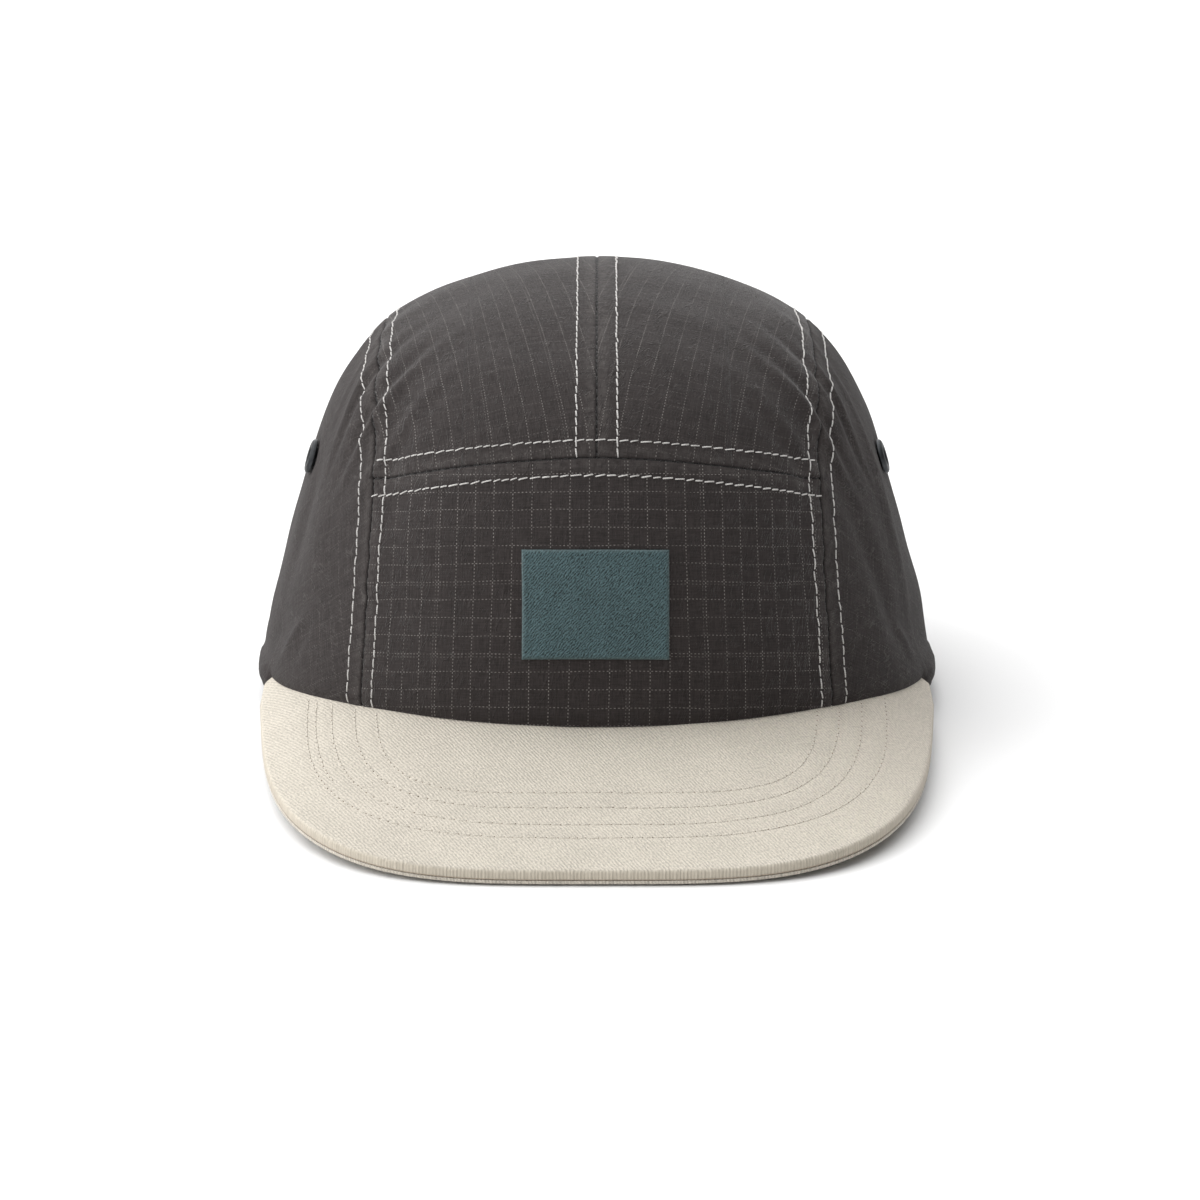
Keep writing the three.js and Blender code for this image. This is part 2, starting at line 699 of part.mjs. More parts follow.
function peakPlanRows() {
  const horn = hornAngle();
  const inner = pointsAlong((t) => peakInnerPoint(horn * (2 * t - 1)), evenStops(PEAK_COLUMNS));
  const outer = pointsAlong((t) => peakOuterPoint(Math.PI * (2 * t - 1)), evenStops(PEAK_COLUMNS));
  const shares = Array.from({ length: PEAK_ROWS }, (unused, i) => i / (PEAK_ROWS - 1));
  const rows = shares.map((share) => inner.map((p, j) => {
    const width = p.distanceTo(outer[j]);
    const reach = share * Math.max(width - PEAK_EDGE_ROUND, 0.5 * width);
    return p.clone().lerp(outer[j], reach / width);
  }));
  rows.push(outer);
  return rows;
}

function peakLayer(rows, depth, edgeDrop) {
  const last = rows.length - 1;
  return rows.map((row, i) => row.map((p) => {
    const drop = (depth + (i === last ? edgeDrop : 0)) / peakNormal(p.x, p.y).z;
    return new THREE.Vector3(p.x, p.y, peakTopHeight(p.x, p.y) - drop);
  }));
}

function peakSkin(name, from, to, roundTop, roundUnder) {
  const rows = peakPlanRows();
  const upper = peakLayer(rows, from, roundTop);
  const lower = peakLayer(rows, to, -roundUnder);
  lower.forEach(flatOnTable);
  return shellMesh(name, upper, lower, true, twill.clone());
}

// Sweatband: a plain band inside the lower edge, open at the arch of the back

function sweatband() {
  const strapEnd = STRAP_REACH + CLOTH_GAP;
  const endDepth = crownDepthAt(strapEnd, 0, false);
  const endAngle = Math.PI - Math.atan2(strapEnd, endDepth);
  const outside = PANEL_WALL + BAND_ROOM;
  const lines = [];
  for (let j = 0; j <= BAND_COLUMNS; j += 1) {
    const angle = -endAngle + (2 * endAngle * j) / BAND_COLUMNS;
    let foot = crownAround(angle, 0);
    for (let i = 0; i < SETTLE_ROUNDS; i += 1) {
      foot = crownAround(angle, rimHeight(foot.x, foot.y));
    }
    const onPeak = foot.y < -HORN_PLACE;
    const low = onPeak ? foot.z - PEAK_THICK : Math.max(foot.z, HEM_TURN);
    const upper = [foot.z + BAND_HEIGHT / 2, foot.z + BAND_HEIGHT].map((z) => crownAround(angle, z));
    lines.push([foot.clone().setZ(low), ...upper]);
  }
  const offset = (depth) => [2, 1, 0].map((i) => lines.map((line) => {
    const out = crownNormal(line[i]);
    return line[i].clone().addScaledVector(out, foldRise(line[i]) - depth);
  }));
  const outer = offset(outside);
  const inner = offset(outside + BAND_WALL);
  outer.forEach(flatOnTable);
  inner.forEach(flatOnTable);
  return shellMesh('sweatband', outer, inner, true, bandCloth);
}

// Label: a plain patch that lies on the front panel

function label() {
  const grid = [];
  for (let i = 0; i <= LABEL_ROWS; i += 1) {
    const line = [];
    for (let j = 0; j <= LABEL_COLUMNS; j += 1) {
      const x = LABEL_WIDTH * (j / LABEL_COLUMNS - 0.5);
      const z = LABEL_CENTRE_HEIGHT + LABEL_HEIGHT * (0.5 - i / LABEL_ROWS);
      line.push(new THREE.Vector3(x, crownDepthAt(x, z, true), z));
    }
    grid.push(line);
  }
  const offset = (rise) => grid.map((row) => row.map((p) => {
    return p.clone().addScaledVector(crownNormal(p), foldRise(p) + rise);
  }));
  return shellMesh('label', offset(CLOTH_GAP + LABEL_THICK), offset(CLOTH_GAP), true, labelCloth);
}

// Closure at the back: strap, tab and slider, drawn in plan and raised upright

const strapLow = STRAP_HEM_GAP;
const strapMiddle = strapLow + STRAP_WIDTH / 2;
const buckleFace = crownDepthAt(0, strapMiddle, false);
const layerStep = STRAP_THICK + CLOTH_GAP;
const barStep = BUCKLE_THICK / 2 + CLOTH_GAP + STRAP_THICK / 2;
const barPlace = BUCKLE_WIDTH / 2 - BUCKLE_BAR / 2;
const windowMiddle = barPlace / 2;
const panelDepth = PANEL_WALL + 2 * CLOTH_GAP + STRAP_THICK / 2;

function besideCrown(x, depth) {
  const nearest = [strapLow, strapLow + STRAP_WIDTH].map((z) => crownDepthAt(x, z, false));
  const point = new THREE.Vector3(x, Math.min(...nearest), strapMiddle);
  const out = crownNormal(point).setZ(0).normalize();
  point.addScaledVector(out, -depth);
  return new THREE.Vector2(point.x, point.y);
}

function ribbon(name, plan) {
  const smooth = new THREE.SplineCurve(plan).getPoints(4 * (plan.length - 1));
  const upper = [];
  smooth.forEach((p, i) => {
    const next = smooth[Math.min(i + 1, smooth.length - 1)];
    const before = smooth[Math.max(i - 1, 0)];
    const along = next.clone().sub(before).normalize();
    const aside = new THREE.Vector2(-along.y, along.x).multiplyScalar(STRAP_THICK / 2);
    upper.push([p.clone().add(aside), p.clone().sub(aside)]);
  });
  const face = (k) => [strapLow + STRAP_WIDTH, strapLow].map((z) => {
    return upper.map((pair) => new THREE.Vector3(pair[k].x, pair[k].y, z));
  });
  return shellMesh(name, face(0), face(1), false, webbing.clone());
}

const barEdge = barPlace - BUCKLE_BAR / 2;
const underBar = buckleFace - barStep;
const overBar = buckleFace + barStep;
const freePlace = barPlace + 2 * BUCKLE_BAR;
const freeDepth = STRAP_THICK / 4;
const bendPlace = 0.78 * ARCH_HALF;

// From under the panel, under the near bar, over the middle bar and under the tab to its free end
function strap() {
  const underTab = layerStep + CLOTH_GAP;
  const leaveBar = 0.8 * windowMiddle;
  const meetTab = 1.25 * windowMiddle;
  return ribbon('strap', [
    besideCrown(-STRAP_REACH, panelDepth),
    besideCrown(-bendPlace, panelDepth),
    besideCrown(-freePlace, freeDepth),
    new THREE.Vector2(-barPlace - BUCKLE_BAR / 2, underBar),
    new THREE.Vector2(-barEdge + CLOTH_GAP, underBar),
    new THREE.Vector2(-windowMiddle, buckleFace),
    new THREE.Vector2(-BUCKLE_BAR / 2 - CLOTH_GAP, overBar),
    new THREE.Vector2(BUCKLE_BAR / 2 + CLOTH_GAP, overBar),
    new THREE.Vector2(leaveBar, buckleFace),
    new THREE.Vector2(meetTab, underBar - 0.9 * underTab),
    new THREE.Vector2(barPlace, underBar - underTab),
    besideCrown(freePlace, freeDepth + underTab),
    besideCrown(bendPlace, panelDepth + underTab),
  ]);
}

// From under the panel on the other side, round the far bar and back on itself
function strapTab() {
  const loopPlace = barEdge - CLOTH_GAP - STRAP_THICK / 2;
  return ribbon('strap_tab', [
    besideCrown(STRAP_REACH, panelDepth),
    besideCrown(bendPlace, panelDepth),
    besideCrown(freePlace, freeDepth),
    new THREE.Vector2(barPlace + BUCKLE_BAR / 2, underBar),
    new THREE.Vector2(barEdge + CLOTH_GAP, underBar),
    new THREE.Vector2(loopPlace - 2 * CLOTH_GAP, buckleFace),
    new THREE.Vector2(barEdge + CLOTH_GAP, overBar),
    new THREE.Vector2(barPlace + BUCKLE_BAR / 2 + CLOTH_GAP, overBar),
    besideCrown(freePlace, freeDepth - layerStep - CLOTH_GAP),
    besideCrown(freePlace + BUCKLE_BAR, freeDepth - layerStep),
  ]);
}

function roundedPlate(halfWidth, halfHeight, corner) {
  const shape = new THREE.Shape();
  const right = halfWidth - corner;
  const top = halfHeight - corner;
  shape.absarc(right, -top, corner, -Math.PI / 2, 0);
  shape.absarc(right, top, corner, 0, Math.PI / 2);
  shape.absarc(-right, top, corner, Math.PI / 2, Math.PI);
  shape.absarc(-right, -top, corner, Math.PI, 1.5 * Math.PI);
  return shape;
}

function buckle() {
  const windowHeight = STRAP_WIDTH + 2 * BUCKLE_STRAP_ROOM;
  const frame = roundedPlate(BUCKLE_WIDTH / 2, windowHeight / 2 + BUCKLE_SIDE, BUCKLE_SIDE);
  const plate = { depth: BUCKLE_THICK, bevelEnabled: false, curveSegments: 3 };
  let mesh = new THREE.Mesh(new THREE.ExtrudeGeometry(frame, plate), darkMetal.clone());
  mesh.name = 'buckle';
  for (const side of [-1, 1]) {
    const window = new THREE.BoxGeometry(barPlace - BUCKLE_BAR, windowHeight, 4 * BUCKLE_THICK);
    window.translate(side * windowMiddle, 0, 0);
    mesh = cutMesh(mesh, window);
  }
  mesh.rotation.x = Math.PI / 2;
  mesh.position.set(0, buckleFace + BUCKLE_THICK / 2, strapMiddle);
  return mesh;
}

// The cap, with the middle of its underside box at the origin

const cap = new THREE.Group();
cap.add(frontPanel());
cap.add(topPanel(-1, 'top_panel_left'));
cap.add(topPanel(1, 'top_panel_right'));
cap.add(sidePanel(-1, 'side_panel_left'));
cap.add(sidePanel(1, 'side_panel_right'));
cap.add(sweatband());
cap.add(label());
cap.add(eyelet(-1, 'eyelet_left'));
cap.add(eyelet(1, 'eyelet_right'));
cap.add(peakSkin('peak_top', 0, PEAK_TOP_SKIN, PEAK_EDGE_ROUND, 0));
cap.add(peakSkin('peak_under', PEAK_TOP_SKIN + CLOTH_GAP, PEAK_THICK, 0, 0.4 * PEAK_EDGE_ROUND));
cap.add(strap());
cap.add(strapTab());
cap.add(buckle());

cap.updateMatrixWorld(true);
const box = new THREE.Box3().setFromObject(cap, true);
const middle = box.getCenter(new THREE.Vector3());
cap.position.set(-middle.x, -middle.y, -box.min.z);

export default cap;
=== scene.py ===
"""Five panel cap: a soft ripstop crown, a stitched twill peak, a plain patch and a strap at the back.

Shapes are worked out in millimetres with the middle of the crown at x = y = 0 and the table at z = 0,
and are moved into the frame, in metres, when a mesh is made.
"""

import logging
import math
from dataclasses import dataclass, field
from enum import Enum
from typing import Callable, Iterable, NamedTuple, Optional, Sequence, Union

import bpy
import numpy as np
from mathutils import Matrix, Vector


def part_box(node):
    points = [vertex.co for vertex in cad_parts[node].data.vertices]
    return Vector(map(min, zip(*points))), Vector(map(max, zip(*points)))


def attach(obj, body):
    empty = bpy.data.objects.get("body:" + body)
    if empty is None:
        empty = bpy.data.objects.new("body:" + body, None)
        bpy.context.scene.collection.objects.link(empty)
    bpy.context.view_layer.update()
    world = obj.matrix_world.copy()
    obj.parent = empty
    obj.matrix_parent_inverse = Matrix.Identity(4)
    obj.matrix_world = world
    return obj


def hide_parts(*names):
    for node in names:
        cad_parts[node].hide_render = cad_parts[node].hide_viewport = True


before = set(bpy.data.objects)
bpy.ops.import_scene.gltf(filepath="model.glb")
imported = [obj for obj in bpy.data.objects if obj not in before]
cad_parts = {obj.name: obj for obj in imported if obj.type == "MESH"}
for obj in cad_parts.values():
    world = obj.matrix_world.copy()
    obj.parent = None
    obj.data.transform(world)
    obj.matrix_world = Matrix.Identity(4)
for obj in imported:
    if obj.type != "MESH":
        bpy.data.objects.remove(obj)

Array = np.ndarray
Socket = bpy.types.NodeSocket
Input = Union[Socket, float, Sequence[float]]
log = logging.getLogger("cap")

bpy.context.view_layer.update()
MM = 0.001
SEED = 20
FULL_TURN = 6.28


@dataclass(frozen=True)
class CrownSizes:
    """Named sizes of the crown, in millimetres."""

    half_width: float = 84.5
    front: float = 103.0
    back: float = 97.0
    height: float = 109.0
    wall: float = 1.4
    seam_top_half: float = 54.0
    seam_base_half: float = 58.5
    seam_flare: float = 1.25
    cross_height: float = 79.4
    cross_drop: float = 10.4
    hem_height: float = 9.0
    hem_proud: float = 1.5
    hem_fall: float = 1.6
    flat_hem_back: float = 45.0
    arch_half: float = 35.0
    arch_height: float = 38.0
    arch_shape: float = 2.4


@dataclass(frozen=True)
class PeakSizes:
    """Named sizes of the peak, in millimetres."""

    length: float = 68.5
    half_width: float = 84.0
    widest: float = 50.0
    taper: float = 0.1145
    corner: float = 3.75
    rise: float = 14.0
    arch_tip: float = 1.5
    arch_horn: float = 22.0
    arch_shape: float = 3.0
    top_skin: float = 1.8
    under_skin: float = 1.1
    gap: float = 0.3
    horn_place: float = 36.0
    edge_round: float = 0.8

    @property
    def thick(self) -> float:
        """Thickness of both skins and the gap between them."""
        return self.top_skin + self.under_skin + self.gap


class Section(NamedTuple):
    """One level oval of the crown, as shares of its sizes."""

    height: float
    side: float
    front: float
    back: float
    front_corner: float
    back_corner: float


SECTIONS = (
    Section(-0.10, 1.017, 1.008, 0.990, 2.35, 2.15),
    Section(0.08, 1.014, 1.002, 1.004, 2.35, 2.15),
    Section(0.20, 0.989, 0.990, 1.010, 2.35, 2.15),
    Section(0.35, 0.941, 0.966, 1.000, 2.30, 2.15),
    Section(0.50, 0.888, 0.930, 0.965, 2.25, 2.10),
    Section(0.65, 0.827, 0.870, 0.895, 2.20, 2.10),
    Section(0.76, 0.758, 0.800, 0.805, 2.15, 2.05),
    Section(0.86, 0.640, 0.660, 0.664, 2.10, 2.05),
    Section(0.94, 0.437, 0.450, 0.460, 2.05, 2.00),
    Section(1.00, 0.000, 0.000, 0.000, 2.00, 2.00),
)


class Fold(NamedTuple):
    """A soft ridge or hollow: its middle, slope, half length, half width and rise, as shares."""

    side: int
    ahead: float
    height: float
    turn: float
    reach: float
    spread: float
    rise: float


FOLDS = (
    Fold(-1, 0.50, 0.74, 35, 0.30, 0.075, 0.9),
    Fold(-1, 0.62, 0.66, 40, 0.26, 0.070, -0.8),
    Fold(-1, 0.20, 0.84, 30, 0.30, 0.080, 0.8),
    Fold(-1, 0.35, 0.20, -30, 0.22, 0.070, -1.0),
    Fold(1, 0.50, 0.76, 40, 0.32, 0.075, 0.9),
    Fold(1, 0.60, 0.67, 35, 0.26, 0.070, -0.9),
    Fold(1, 0.25, 0.84, 30, 0.32, 0.080, 0.7),
    Fold(1, 0.40, 0.24, -25, 0.25, 0.075, -0.7),
    Fold(-1, 0.47, 0.22, 125, 0.11, 0.022, 0.55),
    Fold(-1, 0.53, 0.20, 115, 0.10, 0.030, -0.45),
    Fold(-1, 0.30, 0.50, 80, 0.30, 0.060, -0.45),
    Fold(1, 0.45, 0.21, 120, 0.10, 0.026, 0.50),
    Fold(1, 0.52, 0.40, 95, 0.26, 0.055, -0.70),
    Fold(1, 0.32, 0.46, 80, 0.30, 0.050, 0.55),
)


# Plain geometry


def smooth_step(start: float, end: float, value: Array) -> Array:
    """A soft step.

    Args:
        start: where the step is 0.
        end: where the step is 1.
        value: the places asked for.

    Returns:
        Values from 0 to 1.
    """
    t = np.clip((np.asarray(value, float) - start) / (end - start), 0, 1)
    return t * t * (3 - 2 * t)


def bump(value: Array, width: float) -> Array:
    """A bell of height 1 around zero.

    Args:
        value: distance from the middle of the bell.
        width: the distance where it has fallen to 37 %.

    Returns:
        Values from 0 to 1.
    """
    return np.exp(-((np.asarray(value) / width) ** 2))


def unit(vectors: Array) -> Array:
    """Vectors with length one.

    Args:
        vectors: an array whose last axis holds x, y and z.

    Returns:
        The same directions, each of length one.
    """
    size = np.linalg.norm(vectors, axis=-1, keepdims=True)
    return vectors / np.maximum(size, 1e-12)


def monotone_curve(places: Array, values: Array) -> Callable[[Array], Array]:
    """A smooth curve through a table that never swings past its values.

    Args:
        places: rising places.
        values: the value at each place.

    Returns:
        A function of the place.
    """
    step = np.diff(places)
    slope = np.diff(values) / step
    tangent = np.empty(len(places))
    tangent[0], tangent[-1] = slope[0], slope[-1]
    for i in range(1, len(slope)):
        if slope[i - 1] * slope[i] <= 0:
            tangent[i] = 0.0
            continue
        before = 2 * step[i] + step[i - 1]
        after = step[i] + 2 * step[i - 1]
        tangent[i] = (before + after) / (before / slope[i - 1] + after / slope[i])

    def at(place: Array) -> Array:
        """The curve's value at a place."""
        q = np.clip(place, places[0], places[-1])
        i = np.clip(np.searchsorted(places, q) - 1, 0, len(step) - 1)
        t = (q - places[i]) / step[i]
        s = 1 - t
        ends = values[i] * (1 + 2 * t) * s * s + values[i + 1] * t * t * (3 - 2 * t)
        return ends + step[i] * (tangent[i] * t * s * s - tangent[i + 1] * t * t * s)

    return at


def run_along(curve: Array) -> Array:
    """Distances along a polyline.

    Args:
        curve: points along the line.

    Returns:
        The distance of each point from the first one.
    """
    return np.concatenate([[0], np.cumsum(np.linalg.norm(np.diff(curve, axis=0), axis=1))])


def even_points(curve: Array, count: int) -> Array:
    """Points at even distances along a polyline.

    Args:
        curve: points along the line.
        count: how many points are wanted.

    Returns:
        The points, first and last ones included.
    """
    reach = run_along(curve)
    stops = np.linspace(0, reach[-1], count)
    return np.stack([np.interp(stops, reach, curve[:, k]) for k in range(curve.shape[1])], axis=1)


def through(points: Sequence[Sequence[float]], per_span: int) -> Array:
    """A smooth line through a few points.

    Args:
        points: the points that the line passes through.
        per_span: how many steps each span gets.

    Returns:
        Points along the line.
    """
    p = np.asarray(points, float)
    line = []
    for i in range(len(p) - 1):
        a, b, c, d = p[max(i - 1, 0)], p[i], p[i + 1], p[min(i + 2, len(p) - 1)]
        for t in np.arange(per_span) / per_span:
            v0, v1 = (c - a) / 2, (d - b) / 2
            line.append(
                (2 * b - 2 * c + v0 + v1) * t**3 + (-3 * b + 3 * c - 2 * v0 - v1) * t * t + v0 * t + b
            )
    return np.array([*line, p[-1]])


class Line:
    """A polyline on a surface that tells how far along and how far off a point is."""

    def __init__(self, points: Array):
        """Prepares the line.

        Args:
            points: points along the line, in order.
        """
        self.points = points
        self.tangents = unit(np.gradient(points, axis=0))
        self.reach = run_along(points)
        self.length = float(self.reach[-1])

    def locate(self, points: Array) -> tuple[Array, Array]:
        """Finds the nearest place on the line.

        Args:
            points: an array of points, one a row.

        Returns:
            The distance along the line, which runs past both ends, and the distance off it.
        """
        along = np.empty(len(points))
        off = np.empty(len(points))
        size = (self.points**2).sum(1)
        for i in range(0, len(points), 20000):
            part = points[i : i + 20000]
            near = (size[None, :] - 2 * part @ self.points.T).argmin(1)
            step = part - self.points[near]
            run = (step * self.tangents[near]).sum(1)
            along[i : i + 20000] = self.reach[near] + run
            off[i : i + 20000] = np.linalg.norm(step - run[:, None] * self.tangents[near], axis=1)
        return along, off

    def past_end(self, along: Array) -> Array:
        """How far a place lies past the nearer end of the line, or zero."""
        return np.maximum(0, np.maximum(-along, along - self.length))

    def at(self, along: Array) -> Array:
        """Points at given distances along the line."""
        return np.stack([np.interp(along, self.reach, self.points[:, k]) for k in range(3)], axis=1)


# The crown and the peak as surfaces


class Peak:
    """The surface of the peak: its height and its outline."""

    def __init__(self, crown_sizes: CrownSizes, sizes: PeakSizes):
        """Keeps the sizes.

        Args:
            crown_sizes: sizes of the crown that the peak is sewn to.
            sizes: sizes of the peak.
        """
        self.crown = crown_sizes
        self.sizes = sizes
        self.tip = crown_sizes.front + sizes.length

    def top(self, x: Array, y: Array) -> Array:
        """Height of the upper face over the table."""
        s = self.sizes
        back = np.asarray(y) + self.tip
        middle = s.thick + back / s.length * s.rise
        arch = s.arch_tip + back / (self.tip - s.horn_place) * (s.arch_horn - s.arch_tip)
        return middle - arch * np.abs(np.asarray(x) / self.crown.half_width) ** s.arch_shape

    def normal(self, x: Array, y: Array) -> Array:
        """Unit vectors that stand on the upper face."""
        h = 0.05
        dx = (self.top(x + h, y) - self.top(x - h, y)) / (2 * h)
        dy = (self.top(x, y + h) - self.top(x, y - h)) / (2 * h)
        return unit(np.stack([-dx, -dy, np.ones_like(dx)], axis=-1))

    def outline(self, count: int) -> Array:
        """Points along the front edge in plan, from the left horn to the right one."""
        s = self.sizes
        turn = np.linspace(0, np.pi, 1600)
        t = np.sin(turn)
        oval = (1 - t**s.corner) ** (1 / s.corner)
        x = -np.sign(np.cos(turn)) * s.half_width * (1 - s.taper * t) * oval
        y = -s.widest - (self.tip - s.widest) * t
        left = np.array([[-s.half_width, -s.horn_place], [x[0], y[0]]])
        curve = np.concatenate([left[:1], np.stack([x, y], axis=1), [[s.half_width, -s.horn_place]]])
        return even_points(curve, count)


class Crown:
    """The crown's smooth outer surface, without its seams and folds."""

    def __init__(self, sizes: CrownSizes, peak: Peak):
        """Prepares the curves through the table of ovals.

        Args:
            sizes: sizes of the crown.
            peak: the peak that the lower edge lies on.
        """
        self.sizes = sizes
        self.peak = peak
        rows = sorted(SECTIONS, key=lambda row: -row.height)
        places = np.sqrt(1 - np.array([row.height for row in rows]))
        self.curves = {
            name: monotone_curve(places, np.array([getattr(row, name) for row in rows]))
            for name in ("side", "front", "back", "front_corner", "back_corner")
        }

    def oval(self, z: Array, ahead: Array) -> tuple[Array, Array, Array]:
        """Half width, half depth and corner of the level oval at a height."""
        s, c = self.sizes, self.curves
        share = np.sqrt(np.maximum(0, 1 - np.asarray(z) / s.height))
        side = np.maximum(s.half_width * c["side"](share), 0.05)
        depth = np.where(ahead, s.front * c["front"](share), s.back * c["back"](share))
        corner = np.where(ahead, c["front_corner"](share), c["back_corner"](share))
        return side, np.maximum(depth, 0.05), corner

    def outside(self, x: Array, y: Array, z: Array) -> Array:
        """Below zero inside the surface and above zero outside it."""
        side, depth, corner = self.oval(z, y < 0)
        return (np.abs(x) / side) ** corner + (np.abs(y) / depth) ** corner - 1

    def depth_at(self, x: Array, z: Array, ahead: bool) -> Array:
        """The y of the surface at an x and a height, in front or behind."""
        side, depth, corner = self.oval(z, np.full(np.shape(z), ahead))
        left = np.maximum(0, 1 - (np.abs(x) / side) ** corner)
        return (-1 if ahead else 1) * depth * left ** (1 / corner)

    def side_at(self, y: Array, z: Array) -> Array:
        """The x of the surface on the right at a y and a height."""
        side, depth, corner = self.oval(z, np.asarray(y) < 0)
        left = np.maximum(0, 1 - (np.abs(y) / depth) ** corner)
        return side * left ** (1 / corner)

    def normal(self, points: Array) -> Array:
        """Unit vectors that stand on the surface."""
        h = 0.05
        x, y, z = np.moveaxis(points, -1, 0)
        return unit(
            np.stack(
                [
                    self.outside(x + h, y, z) - self.outside(x - h, y, z),
                    self.outside(x, y + h, z) - self.outside(x, y - h, z),
                    self.outside(x, y, z + h) - self.outside(x, y, z - h),
                ],
                axis=-1,
            )
        )

    def around(self, angle: Array, z: Array) -> Array:
        """Points at an angle round the crown, where 0 is the front and a quarter turn the right."""
        side, depth, corner = self.oval(z, np.cos(angle) > 0)
        across = (np.abs(np.sin(angle)) / side) ** corner
        along = (np.abs(np.cos(angle)) / depth) ** corner
        radius = (across + along) ** (-1 / corner)
        z = np.broadcast_to(np.asarray(z, float), radius.shape)
        return np.stack([radius * np.sin(angle), -radius * np.cos(angle), z], axis=-1)

    def seam_half(self, z: Array) -> Array:
        """Half the width between the two side seams at a height."""
        s = self.sizes
        below = np.maximum(0, 1 - np.asarray(z) / s.cross_height)
        return s.seam_top_half + (s.seam_base_half - s.seam_top_half) * below**s.seam_flare

    def cross_height(self, x: Array) -> Array:
        """Height of the seam between the front panel and the top panels."""
        return self.sizes.cross_height - self.sizes.cross_drop * (x / self.sizes.seam_top_half) ** 2

    def arch_height(self, x: Array) -> Array:
        """Height of the opening's edge at the back."""
        s = self.sizes
        left = np.maximum(0, 1 - (np.abs(x) / s.arch_half) ** s.arch_shape)
        return s.arch_height * left ** (1 / s.arch_shape)

    def behind_peak(self, y: Array) -> Array:
        """0 over the peak and 1 behind its horns."""
        horn = self.peak.sizes.horn_place
        return smooth_step(-horn + 0.3, -horn + 3.5, y)

    def rim_height(self, x: Array, y: Array) -> Array:
        """Height of the crown's lower edge: on the peak in front, and down to the table behind."""
        s, p = self.sizes, self.peak.sizes
        on_peak = self.peak.top(x, y) + p.gap
        horn = max(float(self.peak.top(s.half_width, -p.horn_place)) - p.under_skin, 0)
        down = np.clip((np.asarray(y) + p.horn_place) / (p.horn_place + s.flat_hem_back), 0, 1)
        mix = self.behind_peak(y)
        return on_peak * (1 - mix) + horn * (1 - down) ** s.hem_fall * mix

    def settle(self, point_at: Callable[[Array], Array], z: Array) -> Array:
        """Lets a point slide down to the lower edge.

        Args:
            point_at: gives the points for their heights.
            z: heights to start from.

        Returns:
            Points on the lower edge.
        """
        for _ in range(14):
            points = point_at(z)
            z = self.rim_height(points[..., 0], points[..., 1])
        return point_at(z)

    def strip(self, share: Array, shift: Array, ray: Array) -> Array:
        """Points of the middle strip.

        Args:
            share: place between the side seams, from -1 to 1.
            shift: millimetres added to the half width of the strip.
            ray: angle up from the front in the plane that runs front to back.

        Returns:
            Points on the crown.
        """
        share, shift, ray = np.broadcast_arrays(share, shift, ray)
        foot = 0.3 * self.sizes.height
        inner, outer = np.zeros(ray.shape), np.full(ray.shape, 2 * self.sizes.front)
        for _ in range(32):
            reach = (inner + outer) / 2
            z = foot + reach * np.sin(ray)
            x = share * (self.seam_half(z) + shift)
            out = (z >= self.sizes.height) | (self.outside(x, -reach * np.cos(ray), z) > 0)
            outer = np.where(out, reach, outer)
            inner = np.where(out, inner, reach)
        z = foot + inner * np.sin(ray)
        x = share * (self.seam_half(z) + shift)
        return np.stack([x, -inner * np.cos(ray), z], axis=-1)

    def ray_of(self, points: Array) -> Array:
        """The ray angle of points on the strip."""
        return np.arctan2(points[..., 2] - 0.3 * self.sizes.height, -points[..., 1])

    def ray_where(
        self, share: Array, shift: float, low: float, high: float, past: Callable[[Array], Array]
    ) -> Array:
        """The ray where a condition begins to hold.

        Args:
            share: places between the side seams.
            shift: millimetres added to the half width of the strip.
            low: ray where the condition doesn't hold.
            high: ray where it holds.
            past: the condition on points.

        Returns:
            One ray for each share.
        """
        share = np.asarray(share, float)
        lo, hi = np.full(share.shape, low), np.full(share.shape, high)
        for _ in range(26):
            middle = (lo + hi) / 2
            done = past(self.strip(share, shift, middle))
            hi = np.where(done, middle, hi)
            lo = np.where(done, lo, middle)
        return (lo + hi) / 2

    def rim_ray(self, share: Array, shift: float) -> Array:
        """The ray where the strip meets the peak."""
        share = np.asarray(share, float)

        def at(z: Array) -> Array:
            """Points on the front of the crown at their heights."""
            x = share * (self.seam_half(z) + shift)
            return np.stack([x, self.depth_at(x, z, True), z], axis=-1)

        start = np.full(share.shape, self.peak.sizes.thick + self.peak.sizes.rise)
        return self.ray_of(self.settle(at, start))

    def cross_ray(self, share: Array, shift: float) -> Array:
        """The ray where the strip meets the seam over the front panel."""
        past = lambda p: p[..., 2] > self.cross_height(p[..., 0])  # noqa: E731
        return self.ray_where(share, shift, 0.0, np.pi / 2, past)

    def end_ray(self, share: Array, shift: float) -> Array:
        """The ray where the strip ends behind, at the arch or on the table."""
        past = lambda p: p[..., 2] < self.arch_height(p[..., 0])  # noqa: E731
        return self.ray_where(share, shift, np.pi / 2, 1.3 * np.pi, past)

    def onto(self, points: Array) -> Array:
        """Points moved onto the surface along its normal."""
        for _ in range(3):
            normal = self.normal(points)
            h = 0.05
            here = self.outside(*np.moveaxis(points, -1, 0))
            ahead = self.outside(*np.moveaxis(points + h * normal, -1, 0))
            slope = (ahead - here) / h
            points = points - (here / np.maximum(slope, 1e-6))[..., None] * normal
        return points

    def beside(self, line: Array, off: float) -> Array:
        """A line that runs beside another on the surface.

        Args:
            line: points along the first line.
            off: distance between the two, to the left of the way along for a value above zero.

        Returns:
            Points along the second line.
        """
        tangent = unit(np.gradient(line, axis=0))
        across = unit(np.cross(self.normal(line), tangent))
        return self.onto(line + off * across)


# Seams, hems and folds as rises and hollows of the cloth


